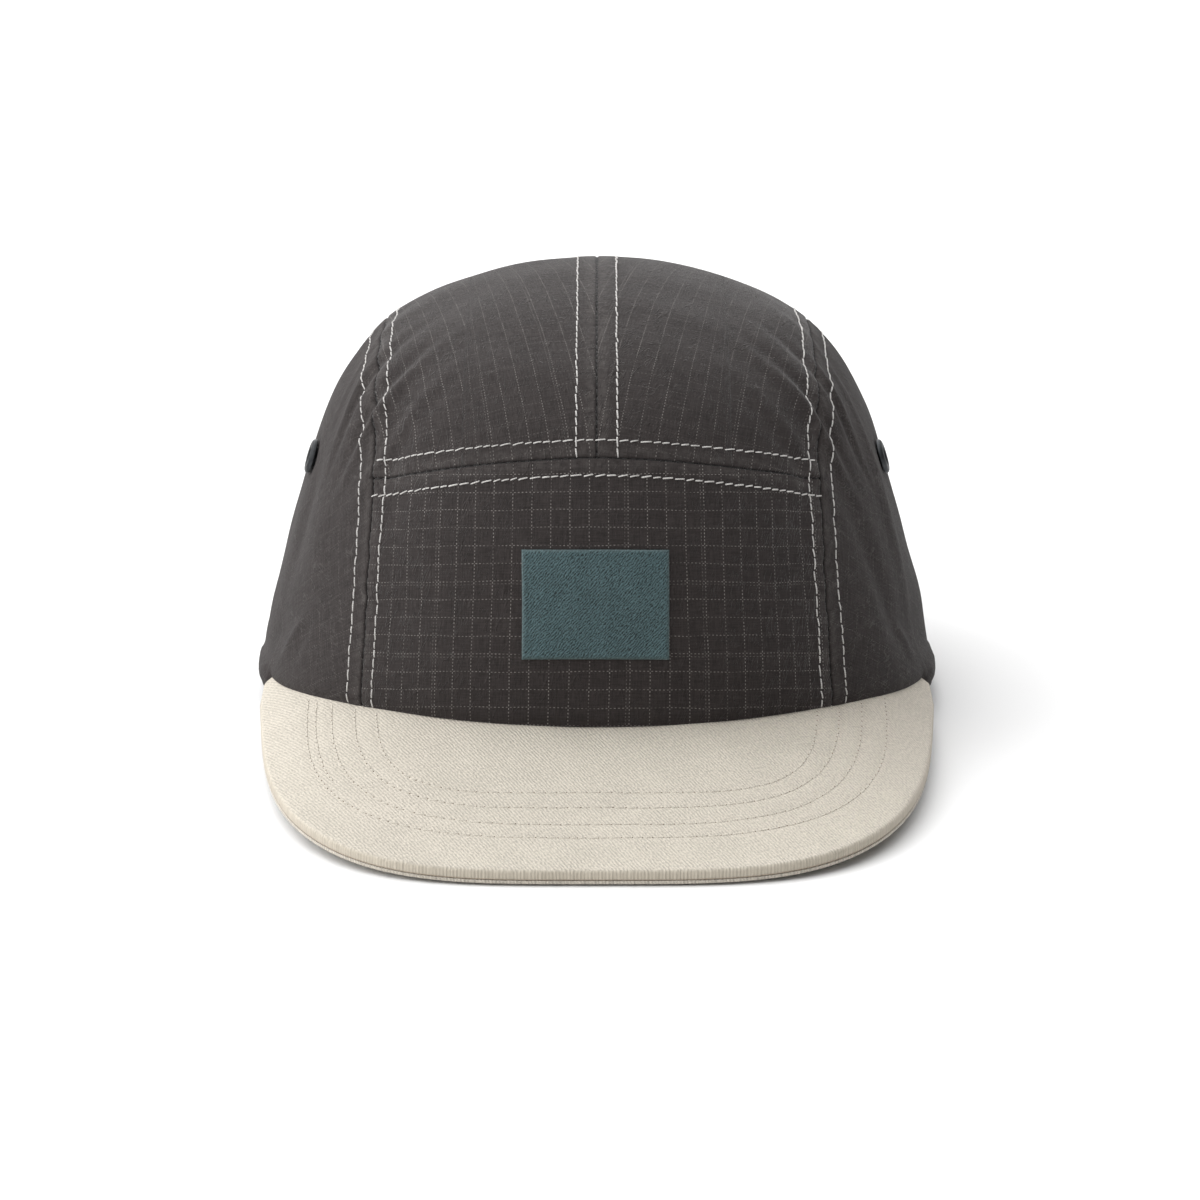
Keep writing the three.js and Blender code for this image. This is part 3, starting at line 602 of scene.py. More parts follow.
@dataclass(frozen=True)
class HemSizes:
    """The rolled hem, the tuck behind the peak and the bound edge of the arch, in millimetres."""

    fade_start: float = -1.0
    fade_end: float = 9.0
    tuck: float = 0.55
    tuck_height: float = 2.4
    arch_fade: tuple[float, float] = (-1.5, 0.5)
    roll_top: float = 0.4
    roll_share: float = 0.45
    turned_in: float = 0.6
    turned_height: float = 2.6
    row_below: float = 2.2
    row_depth: float = 0.3
    row_half: float = 0.6
    binding: float = 0.5
    binding_edge: tuple[float, float] = (6.2, 7.4)
    binding_row: float = 6.0
    binding_turn: float = 1.2


@dataclass(frozen=True)
class Unevenness:
    """The soft unevenness of worn cloth, in millimetres."""

    rise: float = 0.05
    waves: int = 26
    shortest: float = 16.0
    longest: float = 46.0
    fade: float = 12.0


@dataclass(frozen=True)
class EyeletSeat:
    """Where the eyelets sit and how the cloth sinks under them, in millimetres."""

    ahead: float = 16.0
    height: float = 63.4
    hole: float = 3.0
    dent: float = 0.35
    dent_reach: float = 3.5
    dent_half: float = 2.2


class RowPlaces(NamedTuple):
    """How far the two topstitched rows of a seam lie from it, in millimetres."""

    inner: float
    outer: float


SIDE_ROWS = RowPlaces(3.7, 5.0)
CROSS_ROWS = RowPlaces(4.4, 4.6)
MIDDLE_ROWS = RowPlaces(4.9, 4.9)


@dataclass(frozen=True)
class SeamSizes:
    """How a topstitched seam looks, in millimetres."""

    groove: float = 0.45
    groove_half: float = 0.3
    plateau: float = 0.14
    trench: float = 0.2
    trench_half: float = 0.65
    pitch: float = 5.2
    fade: float = 1.2
    edge: tuple[float, float] = (-0.6, 1.8)
    beat: float = 0.4


@dataclass(frozen=True)
class Seam:
    """A sewn seam with a stitched row on each side of it."""

    line: Line
    left: float
    right: float
    side_of: Callable[[Array], Array]
    sizes: SeamSizes = SeamSizes()

    def relief(self, points: Array) -> Array:
        """Rise of the cloth around the seam.

        Args:
            points: points on the crown, one a row.

        Returns:
            The rise at each point.
        """
        s = self.sizes
        along, off = self.line.locate(points)
        near = bump(self.line.past_end(along), s.fade)
        row = np.where(self.side_of(points) > 0, self.right, self.left)
        beat = 1 - s.beat + s.beat * np.cos(2 * np.pi * along / s.pitch + np.sin(along * 0.31))
        rise = s.plateau * (1 - smooth_step(*s.edge, off - row))
        rise = rise - s.groove * bump(off, s.groove_half)
        rise = rise - s.trench * bump(off - row, s.trench_half) * beat
        return rise * near


class Pucker(NamedTuple):
    """A run of small slanting folds across a side seam, as shares of the seam's length."""

    side: int
    middle: float
    reach: float
    period: float
    slant: float
    spread: float
    rise: float


PUCKERS = (
    Pucker(-1, 0.30, 0.085, 0.052, 0.9, 0.060, 0.62),
    Pucker(-1, 0.12, 0.060, 0.036, -0.5, 0.030, 0.20),
    Pucker(-1, 0.60, 0.200, 0.060, 0.6, 0.045, 0.24),
    Pucker(1, 0.29, 0.080, 0.050, 0.8, 0.064, 0.66),
    Pucker(1, 0.12, 0.060, 0.034, -0.6, 0.030, 0.20),
    Pucker(1, 0.62, 0.200, 0.064, 0.7, 0.045, 0.24),
)


class Cloth:
    """The crown's cloth: the smooth crown with its folds, seams, hem and small unevenness."""

    def __init__(self, crown: Crown):
        """Draws the seams and prepares the folds.

        Args:
            crown: the smooth surface.
        """
        self.crown = crown
        s = crown.sizes
        ends = [float(crown.rim_ray(np.array([1.0]), 0.0)[0]), float(crown.end_ray(np.array([1.0]), 0.0)[0])]
        rays = np.linspace(*ends, 1200)
        right = even_points(crown.strip(1.0, 0.0, rays), 700)
        across = np.linspace(-1, 1, 400)
        cross = even_points(crown.strip(across, 0.0, crown.cross_ray(across, 0.0)), 260)
        top = float(crown.cross_ray(np.array([0.0]), 0.0)[0])
        end = float(crown.end_ray(np.array([0.0]), 0.0)[0])
        middle = even_points(crown.strip(0.0, 0.0, np.linspace(top, end, 1200)), 600)
        share = np.sin(np.linspace(-np.pi / 2, np.pi / 2, 400)) * s.arch_half / crown.seam_half(0.0)
        arch = even_points(crown.strip(share, 0.0, crown.end_ray(share, 0.0)), 260)
        self.side_lines = {1: Line(right), -1: Line(right * np.array([-1, 1, 1]))}
        self.cross_line, self.middle_line, self.arch_line = Line(cross), Line(middle), Line(arch)
        beside = lambda p: np.abs(p[:, 0]) - crown.seam_half(p[:, 2])  # noqa: E731
        self.seams = {
            "left": Seam(self.side_lines[-1], *SIDE_ROWS, beside),
            "right": Seam(self.side_lines[1], *SIDE_ROWS, beside),
            "cross": Seam(self.cross_line, *CROSS_ROWS, lambda p: p[:, 2] - crown.cross_height(p[:, 0])),
            "middle": Seam(self.middle_line, *MIDDLE_ROWS, lambda p: p[:, 0]),
        }
        self.fold_frames = [self._fold_frame(fold) for fold in FOLDS]
        self.hem_sizes, self.unevenness, self.seat = HemSizes(), Unevenness(), EyeletSeat()
        random = np.random.default_rng(SEED)
        self.waves = []
        for _ in range(self.unevenness.waves):
            way = unit(random.normal(size=3)) * 2 * np.pi
            way = way / random.uniform(self.unevenness.shortest, self.unevenness.longest)
            self.waves.append((way, random.uniform(0, FULL_TURN)))

    def _fold_frame(self, fold: Fold) -> tuple[Fold, Array, Array, Array]:
        """Middle, direction along and direction across of a fold."""
        s = self.crown.sizes
        y, z = -fold.ahead * s.front, fold.height * s.height
        middle = np.array([fold.side * float(self.crown.side_at(y, z)), y, z])
        out = self.crown.normal(middle)
        back = unit(np.array([0, 1, 0]) - out[1] * out)
        up = np.cross(out, back) * fold.side
        turn = math.radians(fold.turn)
        along = back * math.cos(turn) + up * math.sin(turn)
        across = up * math.cos(turn) - back * math.sin(turn)
        return fold, middle, along, across

    def folds(self, points: Array) -> Array:
        """Rise of the large folds."""
        s = self.crown.sizes
        rise = np.zeros(len(points))
        for fold, middle, along, across in self.fold_frames:
            step = points - middle
            far = step @ along / (fold.reach * s.half_width)
            wide = step @ across / (fold.spread * s.half_width)
            rise += fold.rise * s.wall * np.exp(-far * far - wide * wide)
        rim = self.crown.rim_height(points[:, 0], points[:, 1])
        return rise * smooth_step(0, 1.5 * s.hem_height, points[:, 2] - rim)

    def puckers(self, points: Array) -> Array:
        """Rise of the small folds that cross the side seams."""
        rise = np.zeros(len(points))
        for row in PUCKERS:
            line = self.side_lines[row.side]
            along, off = line.locate(points)
            beside = np.abs(points[:, 0]) - self.crown.seam_half(points[:, 2])
            signed = np.where(beside > 0, off, -off)
            length = line.length
            window = bump(along - row.middle * length, row.reach * length)
            phase = 2 * np.pi * (along + row.slant * signed) / (row.period * length)
            wave = np.sin(phase) + 0.4 * np.sin(1.7 * phase + 1.1)
            mine = np.sign(points[:, 0]) == row.side
            rise += np.where(mine, row.rise * window * wave * bump(off, row.spread * length), 0)
        return rise

    def hem(self, points: Array) -> Array:
        """Rise of the rolled hem behind the peak, and of the bound edge of the arch."""
        s, h = self.crown.sizes, self.hem_sizes
        x, y, z = points.T
        up = z - self.crown.rim_height(x, y)
        horn = -self.crown.peak.sizes.horn_place
        behind = smooth_step(horn + h.fade_start, horn + h.fade_end, y)
        tuck = h.tuck * smooth_step(h.tuck_height, 0.0, up) * (1 - behind)
        beside_arch = smooth_step(s.arch_half + h.arch_fade[0], s.arch_half + h.arch_fade[1], np.abs(x))
        past_arch = np.where(y > 0, beside_arch, 1)
        roll = smooth_step(s.hem_height - h.roll_top, h.roll_share * s.hem_height, up)
        round_low = h.turned_in * smooth_step(h.turned_height, 0.0, up)
        row = h.row_depth * bump(up - s.hem_height + h.row_below, h.row_half)
        rise = (s.hem_proud * roll * (1 - round_low) - row) * behind * past_arch - tuck
        along, off = self.arch_line.locate(points)
        near = np.where(y > 0, bump(self.arch_line.past_end(along), 1.0), 0)
        bound = h.binding * (1 - smooth_step(*h.binding_edge, off))
        bound = bound - h.row_depth * bump(off - h.binding_row, h.row_half)
        bound = bound - h.binding * smooth_step(h.binding_turn, 0.0, off)
        return rise + bound * near

    def uneven(self, points: Array) -> Array:
        """Small soft unevenness of worn cloth."""
        rise = sum(np.sin(points @ way + start) for way, start in self.waves)
        rim = self.crown.rim_height(points[:, 0], points[:, 1])
        return self.unevenness.rise * rise * smooth_step(0, self.unevenness.fade, points[:, 2] - rim)

    def eyelet_dents(self, points: Array, seats: Iterable[Array]) -> Array:
        """Hollows that the pressed eyelets make."""
        rise = np.zeros(len(points))
        for seat in seats:
            far = np.linalg.norm(points - seat, axis=1)
            rise -= self.seat.dent * bump(np.maximum(far - self.seat.dent_reach, 0), self.seat.dent_half)
        return rise

    def eyelet_seats(self) -> list[Array]:
        """The middles of the two eyelets on the smooth crown."""
        y, z = -self.seat.ahead, self.seat.height
        x = float(self.crown.side_at(y, z))
        return [np.array([-x, y, z]), np.array([x, y, z])]

    def rise(self, points: Array) -> Array:
        """Whole rise of the cloth over the smooth crown.

        Args:
            points: points on the smooth crown, one a row.

        Returns:
            Millimetres along the crown's normal.
        """
        total = self.folds(points) + self.puckers(points) + self.uneven(points) + self.hem(points)
        for seam in self.seams.values():
            total += seam.relief(points)
        return total + self.eyelet_dents(points, self.eyelet_seats())

    def lay(self, points: Array, lift: float = 0.0) -> Array:
        """Puts points of the smooth crown onto the cloth.

        Args:
            points: points on the smooth crown, one a row.
            lift: millimetres above the cloth.

        Returns:
            The points on the cloth.
        """
        return points + (self.rise(points) + lift)[:, None] * self.crown.normal(points)


# Meshes


@dataclass
class MeshParts:
    """Vertices, faces, cloth coordinates and named values of a mesh to be made."""

    vertices: Array
    faces: list[list[int]]
    uv: Array
    values: dict[str, Array] = field(default_factory=dict)


class Shop:
    """Makes objects in the frame out of millimetre shapes."""

    def __init__(self, shift: Array):
        """Keeps the way from the crown's middle to the frame.

        Args:
            shift: millimetres added to every point.
        """
        self.shift = shift

    def make(self, name: str, parts: MeshParts, sharp_degrees: float = 60.0) -> bpy.types.Object:
        """Makes an object.

        Args:
            name: its name.
            parts: its shape.
            sharp_degrees: edges that turn more than this look sharp.

        Returns:
            The object, in the scene's collection.
        """
        mesh = bpy.data.meshes.new(name)
        placed = parts.vertices + self.shift
        placed[:, 2] = np.maximum(placed[:, 2], 0)
        mesh.from_pydata((placed * MM).tolist(), [], parts.faces)
        mesh.validate()
        corner = np.empty(len(mesh.loops), np.int32)
        mesh.loops.foreach_get("vertex_index", corner)
        layer = mesh.uv_layers.new(name="cloth")
        layer.data.foreach_set("uv", parts.uv[corner].astype(np.float32).ravel())
        for key, value in parts.values.items():
            attribute = mesh.attributes.new(key, "FLOAT", "POINT")
            attribute.data.foreach_set("value", np.asarray(value, np.float32).ravel())
        mesh.polygons.foreach_set("use_smooth", np.ones(len(mesh.polygons), bool))
        mesh.set_sharp_from_angle(angle=math.radians(sharp_degrees))
        made = bpy.data.objects.new(name, mesh)
        bpy.context.scene.collection.objects.link(made)
        return made


def shell(
    outer: Array, inner: Array, uv: Array, values: Optional[dict] = None, keep: Optional[Array] = None
) -> MeshParts:
    """A closed wall between two grids of points.

    Args:
        outer: rows and columns of points on the outer face.
        inner: the same on the inner face.
        uv: cloth coordinates of each point of a grid.
        values: named values of each point of a grid.
        keep: which cells of the grid there are; all of them if left out.

    Returns:
        The closed shape, with its faces pointing out.
    """
    rows, columns = outer.shape[:2]
    keep = np.ones((rows - 1, columns - 1), bool) if keep is None else keep
    number = np.arange(rows * columns).reshape(rows, columns)
    under = rows * columns
    a, b = number[:-1, :-1], number[:-1, 1:]
    c, d = number[1:, 1:], number[1:, :-1]
    middle = (rows // 2, columns // 2)
    along = outer[middle[0], middle[1] + 1] - outer[middle]
    down = outer[middle[0] + 1, middle[1]] - outer[middle]
    turned = np.dot(np.cross(along, down), outer[middle] - inner[middle]) < 0
    quads = [np.stack([a, b, c, d], -1)[keep]]
    quads.append(np.stack([d, c, b, a], -1)[keep] + under)
    framed = np.pad(keep, 1)
    sides = (
        (~framed[:-2, 1:-1], b, a),
        (~framed[2:, 1:-1], d, c),
        (~framed[1:-1, :-2], a, d),
        (~framed[1:-1, 2:], c, b),
    )
    for open_side, start, end in sides:
        border = open_side & keep
        start, end = start[border], end[border]
        quads.append(np.stack([start, end, end + under, start + under], -1))
    faces = np.concatenate(quads)
    if turned:
        faces = faces[:, ::-1]
    vertices = np.concatenate([outer.reshape(-1, 3), inner.reshape(-1, 3)])
    used = np.unique(faces)
    renumber = np.zeros(len(vertices), int)
    renumber[used] = np.arange(len(used))
    both = {k: np.concatenate([v.ravel(), v.ravel()])[used] for k, v in (values or {}).items()}
    flat = uv.reshape(-1, 2)
    return MeshParts(vertices[used], renumber[faces].tolist(), np.concatenate([flat, flat])[used], both)


def sweep(rings: Array, uv: Array, values: Optional[dict] = None) -> MeshParts:
    """A closed tube through rings of points, with a flat cap at each end.

    Args:
        rings: for each ring its points in order round the tube.
        uv: cloth coordinates of each point.
        values: named values of each point.

    Returns:
        The closed shape, with its faces pointing out.
    """
    count, sides = rings.shape[:2]
    number = np.arange(count * sides).reshape(count, sides)
    following = np.roll(number, -1, axis=1)
    faces = np.stack([number[:-1], following[:-1], following[1:], number[1:]], -1).reshape(-1, 4)
    caps = [number[0][::-1].tolist(), number[-1].tolist()]
    ring, onward = rings[count // 2], rings[count // 2 + 1].mean(0) - rings[count // 2].mean(0)
    area = np.cross(ring - ring.mean(0), np.roll(ring, -1, axis=0) - ring.mean(0)).sum(0)
    listed = faces.tolist() + caps
    if np.dot(area, onward) < 0:
        listed = [face[::-1] for face in listed]
    flat = {k: v.ravel() for k, v in (values or {}).items()}
    return MeshParts(rings.reshape(-1, 3), listed, uv.reshape(-1, 2), flat)


@dataclass(frozen=True)
class Thread:
    """Sizes of a sewn row, in millimetres."""

    pitch: float = 2.6
    visible: float = 0.95
    radius: float = 0.19
    slant: float = 0.16
    height: float = 0.08
    vary: float = 0.28
    stray: float = 0.05
    first: float = 0.0


# One stitch: share of its length, height as a share of the thread's width, and how full it is there
STITCH_PROFILE = np.array(
    [[0.0, -0.2, 0.6], [0.09, 0.4, 0.95], [0.5, 0.62, 1.0], [0.91, 0.4, 0.95], [1.0, -0.2, 0.6]]
)
THREAD_SIDES = 6


def stitches(rows: Iterable[tuple[Array, Array]], thread: Thread, seed: int) -> MeshParts:
    """Sewn rows as one mesh of short bent threads.

    Args:
        rows: for each row its points on the cloth and the directions that stand on it.
        thread: sizes of the thread.
        seed: seed of the small irregularities.

    Returns:
        The shape of all the stitches.
    """
    random = np.random.default_rng(seed)
    profile, sides = STITCH_PROFILE, THREAD_SIDES
    turn = np.arange(sides) * 2 * np.pi / sides
    points, faces, uvs = [], [], []
    base = 0
    for line, normals in rows:
        reach = run_along(line)
        count = max(int(reach[-1] / thread.pitch), 1)
        holes = np.concatenate([[0], np.cumsum(random.uniform(1 - thread.vary, 1 + thread.vary, count))])
        holes = holes / holes[-1] * reach[-1]
        start = holes[:-1] + ((1 - thread.visible) / 2 + thread.first) * np.diff(holes)
        long = np.diff(holes) * thread.visible
        at = start[:, None] + long[:, None] * profile[None, :, 0]
        place = np.stack([np.interp(at, reach, line[:, k]) for k in range(3)], -1)
        up = unit(np.stack([np.interp(at, reach, normals[:, k]) for k in range(3)], -1))
        onward = unit(place[:, -1] - place[:, 0])[:, None, :]
        aside = unit(np.cross(up, onward))
        slant = thread.slant * random.uniform(0.4, 1.5, count)[:, None] * (profile[None, :, 0] - 0.5) * 2
        slant = slant + random.normal(0, thread.stray, count)[:, None]
        place = place + aside * slant[..., None]
        place = place + up * (profile[None, :, 1, None] * 2 * thread.radius + thread.height - thread.radius)
        wide = thread.radius * profile[None, :, 2] * random.uniform(0.9, 1.1, count)[:, None]
        sideways = np.cos(turn)[None, None, :, None] * aside[:, :, None, :]
        ring = sideways + np.sin(turn)[None, None, :, None] * up[:, :, None, :]
        body = place[:, :, None, :] + wide[:, :, None, None] * ring
        points.append(body.reshape(-1, 3))
        across = np.broadcast_to(turn[None, None, :] / (2 * np.pi), body.shape[:3])
        uvs.append(np.stack([np.broadcast_to(at[:, :, None], body.shape[:3]), across], -1).reshape(-1, 2))
        number = base + np.arange(count * len(profile) * sides).reshape(count, len(profile), sides)
        following = np.roll(number, -1, axis=2)
        quads = np.stack([number[:, :-1], number[:, 1:], following[:, 1:], following[:, :-1]], -1)
        faces.extend(quads.reshape(-1, 4).tolist())
        faces.extend(number[:, 0].tolist())
        faces.extend(number[:, -1, ::-1].tolist())
        base += count * len(profile) * sides
    return MeshParts(np.concatenate(points), faces, np.concatenate(uvs))


# Finishes


class Nodes:
    """Builds the shader nodes of one material."""

    def __init__(self, name: str):
        """Makes an empty material with its shader.

        Args:
            name: the material's name.
        """
        self.material = bpy.data.materials.new(name)
        self.material.use_nodes = True
        self.tree = self.material.node_tree
        self.shader = self.tree.nodes["Principled BSDF"]

    def add(self, kind: str, inputs: Optional[dict] = None, **settings: object) -> bpy.types.Node:
        """Adds a node, sets its properties and fills its sockets with numbers or links."""
        node = self.tree.nodes.new(kind)
        for key, value in settings.items():
            setattr(node, key, value)
        for key, value in (inputs or {}).items():
            self.fill(node.inputs[key], value)
        return node

    def fill(self, socket: Socket, value: Input) -> None:
        """Links a socket to another one, or sets its number."""
        if isinstance(value, Socket):
            self.tree.links.new(value, socket)
        else:
            socket.default_value = value

    def math(self, operation: str, a: Input, b: Input = 0.0, c: Input = 0.0) -> Socket:
        """A maths node's result."""
        return self.add("ShaderNodeMath", {0: a, 1: b, 2: c}, operation=operation).outputs[0]

    def step(self, value: Input, low: float, high: float, first: float = 0.0, last: float = 1.0) -> Socket:
        """A soft step between two places."""
        node = self.add(
            "ShaderNodeMapRange",
            {"Value": value, "From Min": low, "From Max": high, "To Min": first, "To Max": last},
            interpolation_type="SMOOTHSTEP",
        )
        return node.outputs["Result"]

    def noise(self, vector: Socket, scale: float, detail: float = 3.0, rough: float = 0.55) -> Socket:
        """Noise from 0 to 1."""
        node = self.add(
            "ShaderNodeTexNoise", {"Vector": vector, "Scale": scale, "Detail": detail, "Roughness": rough}
        )
        return node.outputs["Fac"]

    def woven(
        self, vector: Socket, x: float, y: float, detail: float, rough: float = 0.55, scale: float = 1.0
    ) -> Socket:
        """Noise from 0 to 1, stretched along or across the cloth.

        Args:
            vector: cloth coordinates in millimetres.
            x: how many grains there are to a millimetre along the first of them.
            y: the same along the second.
            detail: how many finer layers of noise there are.
            rough: how strong each finer layer is.
            scale: grains to a millimetre both ways, which also tells two noises apart.

        Returns:
            The noise.
        """
        return self.noise(self.scaled(vector, x, y), scale, detail, rough)

    def total(self, *parts: tuple[Input, float]) -> Socket:
        """The sum of values, each with its share.

        Args:
            parts: each value and the number that it is multiplied by.

        Returns:
            The sum.
        """
        whole = None
        for value, share in parts:
            part = value if share == 1.0 else self.math("MULTIPLY", value, share)
            whole = part if whole is None else self.math("ADD", whole, part)
        return whole

    def ridges(self, value: Input, pitch: float) -> Socket:
        """Ridges from 0 to 1 and back once in each pitch."""
        return self.math("DIVIDE", self.math("PINGPONG", value, pitch / 2), pitch / 2)

    def scaled(self, vector: Socket, x: float, y: float, turn: float = 0.0) -> Socket:
        """A vector stretched and turned in its plane."""
        inputs = {"Vector": vector, "Scale": (x, y, 1.0), "Rotation": (0, 0, math.radians(turn))}
        return self.add("ShaderNodeMapping", inputs).outputs["Vector"]

    def cloth(self) -> Socket:
        """Cloth coordinates in millimetres."""
        return self.add("ShaderNodeUVMap", uv_map="cloth").outputs["UV"]

    def split(self, vector: Socket) -> tuple[Socket, Socket]:
        """The x and y of a vector."""
        node = self.add("ShaderNodeSeparateXYZ", {"Vector": vector})
        return node.outputs["X"], node.outputs["Y"]

    def value(self, name: str) -> Socket:
        """A named value of the mesh."""
        return self.add("ShaderNodeAttribute", attribute_name=name, attribute_type="GEOMETRY").outputs["Fac"]

    def mix(self, share: Input, first: Input, second: Input) -> Socket:
        """A colour between two colours."""
        node = self.add("ShaderNodeMix", data_type="RGBA")
        self.fill(node.inputs[0], share)
        self.fill(node.inputs[6], first)
        self.fill(node.inputs[7], second)
        return node.outputs[2]

    def height(self, value: Input, depth_mm: float, strength: float = 1.0) -> None:
        """Bump from a height."""
        node = self.add("ShaderNodeBump", {"Height": value, "Distance": depth_mm * MM, "Strength": strength})
        self.fill(self.shader.inputs["Normal"], node.outputs["Normal"])


Colour = tuple[float, float, float, float]


def linear(red: int, green: int, blue: int) -> Colour:
    """A colour given as it shows on a screen.

    Args:
        red: from 0 to 255.
        green: from 0 to 255.
        blue: from 0 to 255.

    Returns:
        The linear colour with full cover.
    """
    curve = lambda v: v / 12.92 if v <= 0.04045 else ((v + 0.055) / 1.055) ** 2.4  # noqa: E731
    return (*(curve(v / 255) for v in (red, green, blue)), 1.0)


def shade(colour: Colour, share: float) -> Colour:
    """A darker or paler tone of a colour.

    Args:
        colour: the colour.
        share: how bright the tone is beside it.

    Returns:
        The tone with full cover.
    """
    return (*(min(c * share, 1) for c in colour[:3]), 1.0)


@dataclass(frozen=True)
class Ripstop:
    """Thin charcoal cloth with a light dotted grid and fine crinkles, with painted highlight on the crinkles
    and painted shade in the seams.
    """

    name: str
    colour: Colour = linear(45, 40, 39)
    light: Colour = linear(146, 141, 137)
    # painted shade where the cloth sinks into a seam
    gap: Colour = linear(14, 12, 12)
    grid: float = 4.7
    dots: float = 0.94
    show_up: float = 0.85
    show_across: float = 0.7
    # share of painted highlight laid along the creases
    crinkle_highlight: float = 0.2
    crinkle_turn: float = 20.0
    drift: float = 1.6
    rubbed: float = 0.1
    relief: float = 0.15
    sheen: float = 0.18

    def _grid(self, n: Nodes, uv: Socket) -> Socket:
        """The light dotted lines, some of them doubled."""
        x, y = n.split(uv)
        x = n.total((x, 1.0), (n.woven(uv, 0.02, 0.02, 2.0), self.drift))
        y = n.total((y, 1.0), (n.woven(uv, 0.03, 0.03, 2.0, scale=1.7), self.drift))
        lines = []
        for this, other, show in ((x, y, self.show_up), (y, x, self.show_across)):
            mark = n.step(n.math("PINGPONG", this, self.grid / 2), 0.04, 0.15, 1.0, 0.0)
            cell = n.math("FLOOR", n.math("ADD", n.math("DIVIDE", this, self.grid), 0.5))
            chance = n.add("ShaderNodeTexWhiteNoise", {"W": cell}, noise_dimensions="1D").outputs["Value"]
            twin = n.math("PINGPONG", n.math("ADD", this, 0.8), self.grid / 2)
            twin = n.math("MULTIPLY", n.step(twin, 0.05, 0.14, 0.5, 0.0), n.step(chance, 0.8, 0.84))
            mark = n.math("MAXIMUM", mark, twin)
            dash = n.step(n.math("PINGPONG", other, self.dots / 2), 0.2, 0.32, 0.0, 1.0)
            faded = n.step(n.woven(uv, 0.13, 0.13, 3.0, scale=1.0 + show), 0.34, 0.62, 0.25, 1.0)
            lines.append(n.math("MULTIPLY", n.math("MULTIPLY", mark, dash), n.math("MULTIPLY", faded, show)))
        return n.math("MAXIMUM", *lines)

    def _crinkles(self, n: Nodes, uv: Socket) -> Socket:
        """Thin creases, most of them along one way of the cloth, for their relief and for the painted
        highlight along them.
        """
        turned = n.scaled(uv, 1.0, 1.0, self.crinkle_turn)
        creases = []
        for wide, long, seed in ((0.42, 0.09, 1.0), (0.8, 0.16, 1.3)):
            folds = n.woven(turned, wide, long, 1.0, scale=seed)
            off = n.math("ABSOLUTE", n.math("SUBTRACT", folds, 0.5))
            here = n.step(n.woven(uv, 0.2, 0.2, 2.0, scale=seed), 0.44, 0.6)
            creases.append(n.math("MULTIPLY", n.step(off, 0.0, 0.022, 1.0, 0.0), here))
        return n.math("MAXIMUM", *creases)

    def build(self) -> bpy.types.Material:
        """Makes the material."""
        n = Nodes(self.name)
        uv = n.cloth()
        grid, crinkles = self._grid(n, uv), self._crinkles(n, uv)
        yarn = n.math("ADD", n.woven(uv, 2.6, 0.22, 2.0), n.woven(uv, 0.22, 2.6, 2.0))
        grain = n.woven(uv, 1.9, 1.9, 2.0, 0.7)
        blotch = n.woven(uv, 0.11, 0.11, 4.0)
        crumple = n.woven(uv, 0.7, 0.7, 4.0, 0.65)
        tone = n.total((yarn, 0.45), (blotch, 0.25), (grain, 0.4))
        colour = n.mix(n.step(tone, 0.35, 1.2), shade(self.colour, 0.5), shade(self.colour, 1.55))
        # Painted highlight: the creases are made paler, as if they caught the light.
        colour = n.mix(n.math("MULTIPLY", crinkles, self.crinkle_highlight), colour, self.light)
        colour = n.mix(grid, colour, self.light)
        worn = n.math("MULTIPLY", n.value("wear"), n.step(n.woven(uv, 0.5, 0.5, 3.0), 0.3, 0.7))
        colour = n.mix(n.math("MULTIPLY", worn, self.rubbed), colour, self.light)
        # Painted shade in the seam grooves, broken into dots along them.
        seam_shade_dots = n.step(n.woven(uv, 1.0, 1.0, 1.0), 0.35, 0.55, 0.55, 1.0)
        colour = n.mix(n.math("MULTIPLY", n.value("seam"), seam_shade_dots), colour, self.gap)
        n.fill(n.shader.inputs["Base Color"], colour)
        n.fill(n.shader.inputs["Roughness"], n.step(yarn, 0.7, 1.3, 0.95, 0.8))
        n.shader.inputs["Specular IOR Level"].default_value = 0.3
        n.shader.inputs["Sheen Weight"].default_value = self.sheen
        n.shader.inputs["Sheen Roughness"].default_value = 0.3
        relief = n.total((yarn, 1.0), (grid, 0.8), (crinkles, 1.3), (crumple, 0.9))
        n.height(relief, self.relief, 0.85)
        return n.material


